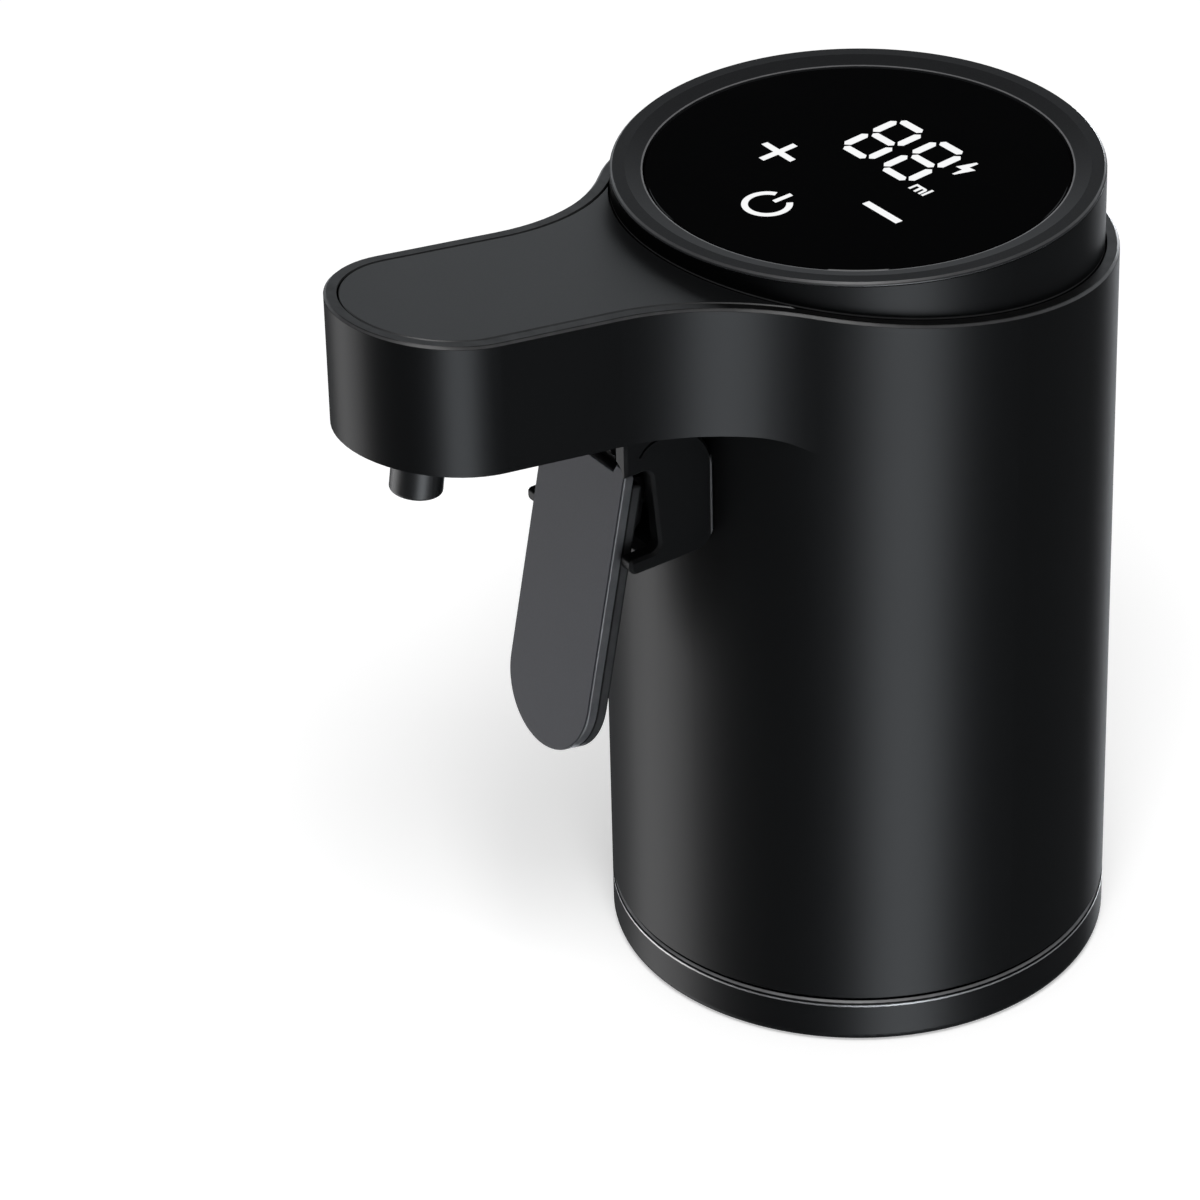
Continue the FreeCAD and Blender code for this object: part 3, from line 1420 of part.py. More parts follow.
# The plunger's tip stands just clear of the rib's back, while the paddle hangs at rest.
lean_slope = sine(d.paddle_lean) / cosine(d.paddle_lean)
plunger_rise = pin_height - switch_height - d.plunger_radius
plunger_tip = pin_front - d.rib_back / cosine(d.paddle_lean) + plunger_rise * lean_slope - d.plunger_gap
switch_size = d.switch_half_width * 2
trigger_switch = cut("trigger_switch", block(
    "switch_block", switch_size, d.switch_depth, switch_size, 0, -switch_front + d.switch_depth / 2,
    switch_height - d.switch_half_width,
), [rod("plunger_hole", d.plunger_radius + d.running_gap, d.plunger_bore, 0, -switch_front + d.plunger_bore,
        switch_height, **ALONG_FRONT)])
switch_plunger = rod("switch_plunger", d.plunger_radius, d.plunger_length, 0, -plunger_tip + d.plunger_length,
                     switch_height, **ALONG_FRONT)

# ---------------------------------------------------------------- paddle

LEANING = {"axis": (-1, 0, 0), "angle": d.paddle_lean}


def paddle_place(thing):
    """Set a thing drawn about the hinge, with its plate upright, into the leaning paddle."""
    return place(thing, 0, -pin_front, pin_height, **LEANING)


def plate_outline(sketch, inset, plate_top, corner, notch=()):
    """A plate's outline: two top corners, straight sides and a round lower end."""
    half = d.paddle_half_width - inset
    top = -plate_top - inset
    low = -d.paddle_top - d.paddle_straight
    draw_outline(sketch, [
        (half, top - corner),
        (half - corner, top, corner, 1),
    ] + list(notch) + [
        (-half + corner, top),
        (-half, top - corner, corner, 1),
        (-half, low),
        (0, low - half, half, 1),
        (half, low, half, 1),
    ])


face_back = d.paddle_face_front - d.paddle_face_thickness
frame_front = face_back - d.paddle_layer_gap
frame_back = frame_front - d.paddle_frame_thickness
paddle_face = new_body("paddle_face")
face_plan = sketch_on(paddle_face, "XZ_Plane", face_back)
plate_outline(face_plan, 0, d.paddle_top, d.paddle_corner, [
    (d.paddle_notch_side, -d.paddle_top), (d.paddle_notch_foot, -d.paddle_notch),
    (-d.paddle_notch_foot, -d.paddle_notch), (-d.paddle_notch_side, -d.paddle_top),
])
pad(paddle_face, face_plan, d.paddle_face_thickness)
dress(paddle_face, "Fillet", d.paddle_edge, lambda edge:
      edge.CenterOfMass.y < -d.paddle_face_front.value + 0.001)
paddle_place(paddle_face)

frame_plate = new_body("frame_plate")
frame_plan = sketch_on(frame_plate, "XZ_Plane", frame_back)
plate_outline(frame_plan, 0, d.frame_top, d.frame_corner)
pad(frame_plate, frame_plan, d.paddle_frame_thickness)
frame_hollow = sketch_on(frame_plate, "XZ_Plane", frame_back)
plate_outline(frame_hollow, d.paddle_rim, d.frame_top, d.frame_corner)
pocket(frame_plate, frame_hollow, d.paddle_recess, upwards=True)
rib_body = new_body("rib_body")
rib_side = sketch_on(rib_body, "YZ_Plane")
draw_outline(rib_side, [
    (-frame_front, -d.rib_top),
    (-frame_front, -d.rib_bottom),
    (d.rib_back - d.rib_corner, -d.rib_bottom),
    (d.rib_back, -d.rib_bottom + d.rib_corner, d.rib_corner, 1),
    (d.rib_back, -d.rib_top),
])
pad(rib_body, rib_side, d.rib_half_width * 2, both_ways=True)
frame_middle = -(frame_front + frame_back) / 2
frame_pocket_side = d.paddle_half_width - d.frame_pocket_rim - d.frame_pocket_width / 2
frame_pocket_thickness = d.paddle_frame_thickness - d.frame_pocket_rim * 2
paddle_frame = paddle_place(cut("paddle_frame", fuse("frame_solid", [
    frame_plate,
    rib_body,
    rod("knuckle_barrel", d.knuckle_radius, d.knuckle_outer * 2, -d.knuckle_outer, **ALONG_X),
    block("paddle_neck", d.knuckle_outer * 2, d.paddle_frame_thickness, d.frame_top + d.frame_corner,
          0, frame_middle, -d.frame_top - d.frame_corner),
    block("spine", d.paddle_rib, d.paddle_frame_thickness, d.paddle_straight - d.rib_top, 0,
          frame_middle, -d.paddle_top - d.paddle_straight),
]), [
    rod("knuckle_bore", d.pin_radius + d.running_gap, d.knuckle_outer * 2, -d.knuckle_outer, **ALONG_X),
    rod("spring_room", d.knuckle_radius + d.fit_gap, d.knuckle_inner * 2, -d.knuckle_inner, **ALONG_X),
    block("spring_notch", d.knuckle_inner * 2, d.rib_back, d.spring_notch_depth - d.rib_top, 0,
          d.spring_notch + d.rib_back / 2, -d.spring_notch_depth),
] + [
    block("frame_pocket_%d" % index, d.frame_pocket_width, frame_pocket_thickness, d.frame_pocket_depth * 2,
          side * frame_pocket_side, frame_middle, -d.frame_top - d.frame_pocket_depth)
    for index, side in enumerate((-1, 1))
]))

# Return spring: a coil on the hinge pin, one leg down behind the rib and one up behind the tie bar.
coil = d.spring_coil.value
coil_length = d.spring_pitch.value * SPRING_TURNS
helix = Part.makeHelix(d.spring_pitch.value, coil_length, coil)
leg_way = FreeCAD.Vector(0, coil, d.spring_pitch.value / (2 * math.pi)).normalize()
coil_start = FreeCAD.Vector(coil, 0, 0)
coil_end = FreeCAD.Vector(coil, 0, coil_length)
down_end = coil_start - leg_way * d.spring_leg_down.value
up_end = coil_end + leg_way * d.spring_leg_up.value
leg_down = Part.LineSegment(down_end, coil_start).toShape()
leg_up = Part.LineSegment(coil_end, up_end).toShape()
spring_path = Part.Wire([leg_down] + helix.Edges + [leg_up])
spring_section = Part.Wire(Part.makeCircle(d.spring_wire.value, down_end, leg_way))
return_spring = doc.addObject("Part::Feature", "return_spring")
return_spring.Shape = spring_path.makePipeShell([spring_section], True, True)
return_spring.Placement = FreeCAD.Placement(
    vector(size_of(-coil_length / 2), -pin_front, pin_height),
    FreeCAD.Rotation(FreeCAD.Vector(0, 1, 0), FreeCAD.Vector(0, 0, 1), FreeCAD.Vector(1, 0, 0), "XYZ"),
)

# ---------------------------------------------------------------- writing the parts

NODES = [
    body_shell, arm_cover, head_drum, bezel_ring, display_glass, glass_tape, control_board, board_screws,
    digit_module, touch_springs, head_gasket, base_ring, base_screws, neck_guide, stopper_core, core_screws,
    stopper_plug, chassis, pump_head, pump_diaphragm, pump_frame, pump_crank, motor_shaft, pump_motor,
    check_valve, bottle_hose, pump_hose, battery_cell, battery_clip, charge_board, charge_socket, nozzle,
    nozzle_washer, nozzle_nut, nozzle_elbow, wine_hose, lever_housing, hinge_pin, housing_screws,
    trigger_switch, switch_plunger, paddle_face, paddle_frame, return_spring,
]
doc.recompute()
faulty = [thing.Name for thing in doc.Objects if {"Invalid", "Error"} & set(thing.State)]
assert not faulty, faulty
os.makedirs("parts", exist_ok=True)
for node in NODES:
    assert not node.Shape.isNull() and node.Shape.isValid() and node.Shape.Volume > 0, node.Label
    node.Shape.exportStep("parts/%s.step" % node.Label)
    box = node.Shape.BoundBox
    print("%-16s %2d solids %9.1f mm3  z %6.2f to %6.2f" % (
        node.Label, len(node.Shape.Solids), node.Shape.Volume, box.ZMin, box.ZMax,
    ))
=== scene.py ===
"""Electric wine dispenser for the neck of a bottle, in a plain studio.

Lengths are in metres. The origin is on the body's axis at the plane of the base, +Z is up
and the arm with the nozzle points along -Y.
"""
import math

import bmesh
import bpy
from mathutils import Matrix, Vector


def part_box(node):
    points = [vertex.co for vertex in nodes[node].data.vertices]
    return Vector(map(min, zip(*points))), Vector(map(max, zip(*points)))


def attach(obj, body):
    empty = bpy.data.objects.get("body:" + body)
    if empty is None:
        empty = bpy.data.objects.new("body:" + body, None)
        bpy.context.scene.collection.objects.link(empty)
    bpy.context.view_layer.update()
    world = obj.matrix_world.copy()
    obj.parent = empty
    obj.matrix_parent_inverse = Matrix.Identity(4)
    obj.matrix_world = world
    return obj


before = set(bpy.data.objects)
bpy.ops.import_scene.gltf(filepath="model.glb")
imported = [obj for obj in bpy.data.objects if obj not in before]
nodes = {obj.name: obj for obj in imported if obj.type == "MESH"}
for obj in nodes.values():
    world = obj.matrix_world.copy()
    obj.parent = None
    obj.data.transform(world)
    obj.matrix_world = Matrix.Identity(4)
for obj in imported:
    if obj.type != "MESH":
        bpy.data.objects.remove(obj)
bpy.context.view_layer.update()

# ---------------------------------------------------------------- neck guide, deck and cell clip
# The guide takes the bottle's neck, and the deck on its posts carries the pump and the cell. Both
# and the cell's clip are moulded in grey glass-filled nylon, with the dull flow marks it leaves.

MM = 0.001
FINE_GRAIN = 5200.0


def add_node(tree, kind, settings=None, inputs=None):
    """Add a shader node with its settings and its fixed inputs."""
    node = tree.nodes.new("ShaderNode" + kind)
    for key, value in (settings or {}).items():
        setattr(node, key, value)
    for key, value in (inputs or {}).items():
        node.inputs[key].default_value = value
    return node


def feed(tree, value, socket):
    """Link a socket to an input, or set the input where the value is a number or a colour."""
    if isinstance(value, bpy.types.NodeSocket):
        tree.links.new(value, socket)
    else:
        socket.default_value = value


def reckon(tree, operation, first, second=0.0, limit=False):
    """A Math node on one or two inputs, each a socket or a number."""
    node = add_node(tree, "Math", {"operation": operation, "use_clamp": limit})
    feed(tree, first, node.inputs[0])
    feed(tree, second, node.inputs[1])
    return node.outputs[0]


def swing(tree, value, middle, amount):
    """How far a value lies from its middle, times an amount."""
    return reckon(tree, "MULTIPLY", reckon(tree, "SUBTRACT", value, middle), amount)


def blend(tree, share, first, second, how="MIX"):
    """Mix two colours by a share."""
    node = add_node(tree, "MixRGB", {"blend_type": how})
    for socket, value in zip(node.inputs, (share, first, second)):
        feed(tree, value, socket)
    return node.outputs["Color"]


def own_place(tree):
    """The place on the piece, in the frame that all the pieces share."""
    return add_node(tree, "TexCoord").outputs["Object"]


def noise(tree, scale, detail=3.0, roughness=0.6, stretch=None):
    """Noise on the piece's own coordinates, drawn out along an axis where stretch is given."""
    where = own_place(tree)
    if stretch is not None:
        drawn = add_node(tree, "Mapping")
        feed(tree, stretch, drawn.inputs["Scale"])
        tree.links.new(where, drawn.inputs["Vector"])
        where = drawn.outputs["Vector"]
    node = add_node(tree, "TexNoise", inputs={"Detail": detail, "Roughness": roughness})
    feed(tree, scale, node.inputs["Scale"])
    tree.links.new(where, node.inputs["Vector"])
    return node.outputs["Fac"]


def new_group(name, inputs, outputs):
    """A node group with named inputs and outputs, and its two end nodes."""
    tree = bpy.data.node_groups.new(name, "ShaderNodeTree")
    for label, start in inputs.items():
        kind = {float: "Float", tuple: "Color", list: "Vector"}[type(start)]
        socket = tree.interface.new_socket(label, in_out="INPUT", socket_type="NodeSocket" + kind)
        socket.default_value = start
    for label, kind in outputs.items():
        tree.interface.new_socket(label, in_out="OUTPUT", socket_type="NodeSocket" + kind)
    return tree, tree.nodes.new("NodeGroupInput").outputs, tree.nodes.new("NodeGroupOutput").inputs


# The mould's grain: fine pits, slow flow marks, and places where handling has rubbed it.
moulded_grain, given, result = new_group(
    "moulded_grain",
    {"Grain size": FINE_GRAIN, "Tone": (0.01, 0.01, 0.01, 1.0), "Roughness": 0.5, "Gloss": 1.0,
     "Handling": 0.06},
    {"Colour": "Color", "Rough": "Float", "Film": "Float", "Height": "Float"},
)
pits = noise(moulded_grain, given["Grain size"], 3.0, 0.62)
flow = noise(moulded_grain, 34.0, 4.0, 0.55)
touch = noise(moulded_grain, 190.0, 5.0, 0.7)
rubbed = reckon(moulded_grain, "ADD", reckon(moulded_grain, "SUBTRACT", flow, 0.5),
                swing(moulded_grain, touch, 0.5, 0.5))
rub_change = reckon(moulded_grain, "MULTIPLY", rubbed, given["Handling"])
pit_change = swing(moulded_grain, pits, 0.5, 0.10)
rough_change = reckon(moulded_grain, "ADD", rub_change, pit_change)
feed(moulded_grain, reckon(moulded_grain, "ADD", given["Roughness"], rough_change), result["Rough"])
gloss_change = reckon(moulded_grain, "ADD", reckon(moulded_grain, "MULTIPLY", rub_change, -3.0),
                      reckon(moulded_grain, "MULTIPLY", pit_change, 2.0))
film = reckon(moulded_grain, "MULTIPLY", given["Gloss"], reckon(moulded_grain, "ADD", 1.0, gloss_change))
feed(moulded_grain, film, result["Film"])
shade = add_node(moulded_grain, "ValToRGB")
shade.color_ramp.elements[0].position = 0.30
shade.color_ramp.elements[0].color = (0.78, 0.78, 0.80, 1)
shade.color_ramp.elements[1].position = 0.72
shade.color_ramp.elements[1].color = (1.15, 1.15, 1.13, 1)
feed(moulded_grain, pits, shade.inputs["Fac"])
toned = blend(moulded_grain, 1.0, given["Tone"], shade.outputs["Color"], "MULTIPLY")
feed(moulded_grain, toned, result["Colour"])
feed(moulded_grain, pits, result["Height"])

# The mask of a painted highlight: a thin lighter line along a moulded edge, where the skin also has more
# gloss. It follows a plane of the piece, or a cone round the upright axis where the radius counts too.
painted_edge_highlight, given, result = new_group(
    "painted_edge_highlight",
    {"Across": [0.0, 0.0, 1.0], "Outward": 0.0, "Level": 0.0, "Width": 0.0002, "Breakup": 0.5},
    {"Mask": "Float"},
)
where = own_place(painted_edge_highlight)
along = add_node(painted_edge_highlight, "VectorMath", {"operation": "DOT_PRODUCT"})
feed(painted_edge_highlight, where, along.inputs[0])
feed(painted_edge_highlight, given["Across"], along.inputs[1])
flat = add_node(painted_edge_highlight, "VectorMath", {"operation": "MULTIPLY"})
feed(painted_edge_highlight, where, flat.inputs[0])
feed(painted_edge_highlight, (1.0, 1.0, 0.0), flat.inputs[1])
radius = add_node(painted_edge_highlight, "VectorMath", {"operation": "LENGTH"})
feed(painted_edge_highlight, flat.outputs["Vector"], radius.inputs[0])
reach = reckon(painted_edge_highlight, "ADD", along.outputs["Value"],
               reckon(painted_edge_highlight, "MULTIPLY", radius.outputs["Value"], given["Outward"]))
away = reckon(painted_edge_highlight, "SUBTRACT", reckon(painted_edge_highlight, "ABSOLUTE", reach), given["Level"])
away = reckon(painted_edge_highlight, "DIVIDE", reckon(painted_edge_highlight, "ABSOLUTE", away), given["Width"])
sharp = reckon(painted_edge_highlight, "MULTIPLY", reckon(painted_edge_highlight, "SUBTRACT", 1.0, away, True), 3.0, True)
# Noise breaks the painted highlight line into patches.
line_breakup = reckon(painted_edge_highlight, "MULTIPLY", given["Breakup"], noise(painted_edge_highlight, 420.0, 3.0, 0.6))
patchy = reckon(painted_edge_highlight, "SUBTRACT", 1.0, line_breakup, True)
feed(painted_edge_highlight, reckon(painted_edge_highlight, "MULTIPLY", sharp, patchy), result["Mask"])


def use_group(tree, group, **inputs):
    """Place a node group, with its own values: underscores stand for spaces in their names."""
    node = add_node(tree, "Group")
    node.node_tree = group
    for key, value in inputs.items():
        feed(tree, value, node.inputs[key.replace("_", " ")])
    return node.outputs


def new_finish(name, **inputs):
    """A material with one Principled surface and its fixed inputs."""
    finish = bpy.data.materials.new(name)
    finish.use_nodes = True
    tree = finish.node_tree
    tree.nodes.clear()
    fixed = {key.replace("_", " "): value for key, value in inputs.items()}
    shader = add_node(tree, "BsdfPrincipled", inputs=fixed)
    surface = add_node(tree, "OutputMaterial").inputs["Surface"]
    tree.links.new(shader.outputs["BSDF"], surface)
    return finish, tree, shader.inputs


def raise_grain(tree, skin, height, strength, distance=0.05 * MM):
    """Let a height stand proud of the surface."""
    bump = add_node(tree, "Bump", inputs={"Strength": strength, "Distance": distance})
    tree.links.new(height, bump.inputs["Height"])
    tree.links.new(bump.outputs["Normal"], skin["Normal"])


def moulded(name, tone, roughness, gloss, grain_size=FINE_GRAIN, depth=0.04, handling=0.03, edges=()):
    """A moulded plastic: an even grain under a film of gloss, and painted highlight lines with more gloss
    along its edges.
    """
    finish, tree, skin = new_finish(name, Coat_Roughness=roughness, Specular_IOR_Level=0.0)
    grain = use_group(tree, moulded_grain, Grain_size=grain_size, Tone=(*tone, 1),
                      Roughness=roughness, Gloss=gloss, Handling=handling)
    colour, film = grain["Colour"], grain["Film"]
    for edge in edges:
        line = use_group(tree, painted_edge_highlight, Across=edge["across"], Outward=edge.get("outward", 0.0),
                         Level=edge["level"], Width=edge["width"])["Mask"]
        # Each edge line is a painted highlight: a lighter tone, with the gloss film raised there as well.
        painted_highlight_tone = (edge["tone"], edge["tone"], edge["tone"] * 1.03, 1)
        colour = blend(tree, line, colour, painted_highlight_tone)
        film = reckon(tree, "MAXIMUM", film, reckon(tree, "MULTIPLY", line, edge["gloss"]))
    tree.links.new(colour, skin["Base Color"])
    tree.links.new(film, skin["Coat Weight"])
    tree.links.new(grain["Rough"], skin["Roughness"])
    raise_grain(tree, skin, grain["Height"], depth, 0.1 * MM)
    return finish


def wear(finish, *names):
    """Put a material on every face of the carried-over pieces."""
    for name in names:
        for place in nodes[name].material_slots:
            place.material = finish


filled_nylon = moulded("filled_nylon", (0.105, 0.105, 0.11), roughness=0.55, gloss=0.8,
                       grain_size=1800.0, depth=0.12, handling=0.08)
wear(filled_nylon, "neck_guide", "chassis", "battery_clip")

# ---------------------------------------------------------------- stopper
# The core with the wine tube and the air channel is food-grade polypropylene. The ribbed plug that
# seals the bottle's mouth is grey silicone, pushed over the core's stem, with a dull skin.

food_white = moulded("food_polypropylene", (0.72, 0.715, 0.69), roughness=0.42, gloss=0.9,
                     grain_size=2400.0, depth=0.05, handling=0.08)
plug_silicone = moulded("plug_silicone", (0.27, 0.275, 0.28), roughness=0.62, gloss=0.7,
                        grain_size=1500.0, depth=0.10, handling=0.10)
wear(food_white, "stopper_core", "check_valve", "nozzle_elbow")
wear(plug_silicone, "stopper_plug", "nozzle_washer")

# ---------------------------------------------------------------- pump
# A diaphragm pump stands beside the wine hose: black head and frame, a rubber diaphragm, a nylon
# crank on the motor's shaft. The motor's can is drawn steel, closed by a black end cap.

MOTOR_CAP = 2.1 * MM

# The fine lines that drawing or turning leaves on bare metal, and a few duller stains.
drawn_lines, given, result = new_group(
    "drawn_lines",
    {"Tone": (0.6, 0.6, 0.6, 1.0), "Roughness": 0.25, "Line size": 900.0, "Stretch": [1.0, 1.0, 1.0]},
    {"Colour": "Color", "Rough": "Float", "Height": "Float"},
)
lines = noise(drawn_lines, given["Line size"], 4.0, 0.6, given["Stretch"])
stains = swing(drawn_lines, noise(drawn_lines, 120.0, 4.0, 0.6), 0.5, 0.18)
line_tone = blend(drawn_lines, lines, (0.82, 0.82, 0.82, 1), (1.08, 1.08, 1.07, 1))
feed(drawn_lines, blend(drawn_lines, 1.0, given["Tone"], line_tone, "MULTIPLY"), result["Colour"])
feed(drawn_lines, reckon(drawn_lines, "ADD", given["Roughness"], stains), result["Rough"])
feed(drawn_lines, lines, result["Height"])

# What lies above a height: a can's cap, or the bare end of a sleeved cell.
above_level, given, result = new_group("above_level", {"Level": 0.0}, {"Mask": "Float"})
place = add_node(above_level, "SeparateXYZ")
feed(above_level, own_place(above_level), place.inputs[0])
feed(above_level, reckon(above_level, "GREATER_THAN", place.outputs["Z"], given["Level"]), result["Mask"])


def drawn_steel(name, tone, roughness, stretch, line_size=900.0):
    """Bare metal under the lines that drawing or turning leaves."""
    finish, tree, skin = new_finish(name, Metallic=1.0)
    steel = use_group(tree, drawn_lines, Tone=(*tone, 1), Roughness=roughness, Line_size=line_size,
                      Stretch=stretch)
    tree.links.new(steel["Colour"], skin["Base Color"])
    tree.links.new(steel["Rough"], skin["Roughness"])
    raise_grain(tree, skin, steel["Height"], 0.06)
    return finish


pump_nylon = moulded("pump_nylon", (0.020, 0.020, 0.021), roughness=0.5, gloss=0.8,
                     grain_size=2600.0, depth=0.08)
pump_rubber = moulded("pump_rubber", (0.012, 0.012, 0.012), roughness=0.72, gloss=0.6,
                      grain_size=1400.0, depth=0.10)
white_nylon = moulded("white_nylon", (0.70, 0.69, 0.65), roughness=0.45, gloss=0.9,
                      grain_size=2600.0, depth=0.05)
ground_shaft = drawn_steel("ground_shaft", (0.66, 0.66, 0.66), roughness=0.18, stretch=(1.0, 1.0, 6.0))
wear(pump_nylon, "pump_head", "pump_frame", "trigger_switch")
wear(pump_rubber, "pump_diaphragm", "head_gasket")
wear(white_nylon, "pump_crank", "switch_plunger")
wear(ground_shaft, "motor_shaft", "hinge_pin")

motor_can, tree, skin = new_finish("motor_can")
cap = use_group(tree, above_level, Level=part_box("pump_motor")[1][2] - MOTOR_CAP)["Mask"]
steel = use_group(tree, drawn_lines, Tone=(0.61, 0.61, 0.60, 1), Roughness=0.26, Line_size=700.0,
                  Stretch=(1.0, 1.0, 0.06))
feed(tree, blend(tree, cap, steel["Colour"], (0.015, 0.015, 0.015, 1)), skin["Base Color"])
feed(tree, reckon(tree, "SUBTRACT", 1.0, cap), skin["Metallic"])
feed(tree, reckon(tree, "ADD", steel["Rough"], reckon(tree, "MULTIPLY", cap, 0.25)), skin["Roughness"])
wear(motor_can, "pump_motor")

# ---------------------------------------------------------------- hoses
# Three cut lengths of clear silicone hose join the pump, the check valve, the stopper and the
# nozzle. Each is pushed over plain barbs, and has the milky, slightly dusty skin of silicone.

hose_finish, tree, skin = new_finish("clear_silicone", Transmission_Weight=0.45, IOR=1.41)
grain = use_group(tree, moulded_grain, Grain_size=900.0, Tone=(0.74, 0.75, 0.73, 1),
                  Roughness=0.34, Handling=0.2)
feed(tree, grain["Colour"], skin["Base Color"])
feed(tree, grain["Rough"], skin["Roughness"])
wear(hose_finish, "wine_hose", "pump_hose", "bottle_hose")

# ---------------------------------------------------------------- cell and charging board
# The cell is a steel can in a blue shrink sleeve, open round its button. It stands in its clip.
# The charging board carries the steel socket, whose tongue is black plastic, at the back.

CELL_BARE_END = 0.9 * MM
TONGUE_HALF_HEIGHT = 0.4 * MM
TONGUE_HALF_WIDTH = 3.4 * MM

cell_finish, tree, skin = new_finish("cell_sleeve")
bare = use_group(tree, above_level, Level=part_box("battery_cell")[1][2] - CELL_BARE_END)["Mask"]
wrinkles = noise(tree, 260.0, 5.0, 0.65, (1.0, 1.0, 0.3))
sleeve = blend(tree, wrinkles, (0.020, 0.085, 0.25, 1), (0.035, 0.12, 0.33, 1))
feed(tree, blend(tree, bare, sleeve, (0.62, 0.61, 0.58, 1)), skin["Base Color"])
feed(tree, bare, skin["Metallic"])
feed(tree, reckon(tree, "ADD", 0.2, reckon(tree, "MULTIPLY", wrinkles, 0.25)), skin["Roughness"])
raise_grain(tree, skin, wrinkles, 0.15, 0.1 * MM)
wear(cell_finish, "battery_cell")

board_finish, tree, skin = new_finish("solder_mask")
tracks = add_node(tree, "TexVoronoi", {"feature": "DISTANCE_TO_EDGE"}, {"Scale": 420.0, "Randomness": 0.35})
feed(tree, own_place(tree), tracks.inputs["Vector"])
copper = reckon(tree, "LESS_THAN", tracks.outputs["Distance"], 0.10)
weave = noise(tree, 2200.0, 2.0, 0.5)
mask_tone = blend(tree, weave, (0.008, 0.085, 0.030, 1), (0.014, 0.115, 0.045, 1))
feed(tree, blend(tree, copper, mask_tone, (0.045, 0.19, 0.075, 1)), skin["Base Color"])
feed(tree, reckon(tree, "ADD", 0.28, reckon(tree, "MULTIPLY", weave, 0.12)), skin["Roughness"])
raise_grain(tree, skin, copper, 0.2)
wear(board_finish, "charge_board", "control_board")

socket_finish, tree, skin = new_finish("socket_steel")
socket_low, socket_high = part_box("charge_socket")
socket_level = (socket_low[2] + socket_high[2]) / 2
place = add_node(tree, "SeparateXYZ")
feed(tree, own_place(tree), place.inputs[0])
from_middle = reckon(tree, "ABSOLUTE", reckon(tree, "SUBTRACT", place.outputs["Z"], socket_level))
across = reckon(tree, "ABSOLUTE", place.outputs["X"])
tongue = reckon(tree, "MULTIPLY", reckon(tree, "LESS_THAN", from_middle, TONGUE_HALF_HEIGHT),
                reckon(tree, "LESS_THAN", across, TONGUE_HALF_WIDTH))
steel = use_group(tree, drawn_lines, Tone=(0.667, 0.667, 0.66, 1), Roughness=0.31, Line_size=1400.0,
                  Stretch=(1.0, 0.1, 1.0))
feed(tree, blend(tree, tongue, steel["Colour"], (0.012, 0.012, 0.012, 1)), skin["Base Color"])
feed(tree, reckon(tree, "SUBTRACT", 1.0, tongue), skin["Metallic"])
feed(tree, steel["Rough"], skin["Roughness"])
wear(socket_finish, "charge_socket")

# ---------------------------------------------------------------- body shell
# The round body and its arm are one black moulding with a spark-eroded skin. The bevel of the
# sloped rim is rubbed a little smoother, and its thin line of light is a painted highlight in two lighter
# lines.

RIM_SLOPE = math.tan(math.radians(8.5))
RIM_RISE = 105.3 * MM
SHELL_BLACK = (0.00076, 0.0008, 0.00088)
SHELL_GLOSS = 0.085
SHELL_ROUGHNESS = 0.39
rim_plane = (0.0, RIM_SLOPE, 1.0)

shell_skin = moulded("shell_skin", SHELL_BLACK, SHELL_ROUGHNESS, SHELL_GLOSS, edges=[
    dict(across=rim_plane, level=RIM_RISE + 0.06 * MM, width=0.20 * MM, tone=0.004, gloss=0.90),
    dict(across=rim_plane, level=RIM_RISE - 0.20 * MM, width=0.15 * MM, tone=0.050, gloss=0.80),
])
wear(shell_skin, "body_shell")

# ---------------------------------------------------------------- base ring
# A separate ring of the same black closes the body from below: it snaps into the shell, and its
# upper edge is bevelled; the bright line along the bevel, over the seam's dark groove, is a painted
# highlight.

UP = (0.0, 0.0, 1.0)
BASE_TOP = 6.4 * MM
CONE = 2.0
base_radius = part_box("base_ring")[1][0]
base_bevel = CONE * base_radius + BASE_TOP - 0.68 * MM

base_skin = moulded("base_skin", SHELL_BLACK, SHELL_ROUGHNESS, SHELL_GLOSS, edges=[
    dict(across=UP, outward=CONE, level=base_bevel, width=0.15 * MM, tone=0.16, gloss=1.0),
])
wear(base_skin, "base_ring")

# ---------------------------------------------------------------- arm cover
# A thin plate lies flush in the arm's top, glued into its recess. It has a fine satin gloss, and
# a painted highlight line along its edge shows the hairline of the joint.

cover_skin = moulded("cover_skin", (0.0037, 0.0040, 0.0044), roughness=0.42, gloss=0.85, edges=[
    dict(across=rim_plane, level=RIM_RISE - 0.08 * MM, width=0.07 * MM, tone=0.030, gloss=1.0),
])
wear(cover_skin, "arm_cover")

# ---------------------------------------------------------------- nozzle
# The outlet is a plain turned stub of semi-gloss black, held in the arm by a steel nut over a
# silicone washer. Turning leaves faint rings on it.

NOZZLE_ROUGHNESS = 0.42

nozzle_finish, tree, skin = new_finish("nozzle_gloss", Specular_IOR_Level=0.0,
                                       Coat_Roughness=NOZZLE_ROUGHNESS)
grain = use_group(tree, moulded_grain, Grain_size=3600.0, Tone=(0.002, 0.002, 0.0021, 1),
                  Roughness=NOZZLE_ROUGHNESS, Gloss=0.2, Handling=0.05)
feed(tree, grain["Film"], skin["Coat Weight"])
feed(tree, grain["Colour"], skin["Base Color"])
feed(tree, grain["Rough"], skin["Roughness"])
raise_grain(tree, skin, noise(tree, 2600.0, 2.0, 0.5, (0.05, 0.05, 1.0)), 0.04)
wear(nozzle_finish, "nozzle")
nut_steel = drawn_steel("nut_steel", (0.60, 0.60, 0.59), roughness=0.26, stretch=(1.0, 1.0, 0.2))
wear(nut_steel, "nozzle_nut")

# ---------------------------------------------------------------- lever housing
# The yoke under the arm is moulded in one piece with its two cheeks, and is screwed to the shell
# from inside. Its rear corners are chamfered, with painted highlights and more gloss along them and faint
# ones along its side edges; its faces stay dull.

yoke_side, yoke_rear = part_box("lever_housing")[1][:2]
yoke_corner = 0.4 * MM - yoke_side - yoke_rear

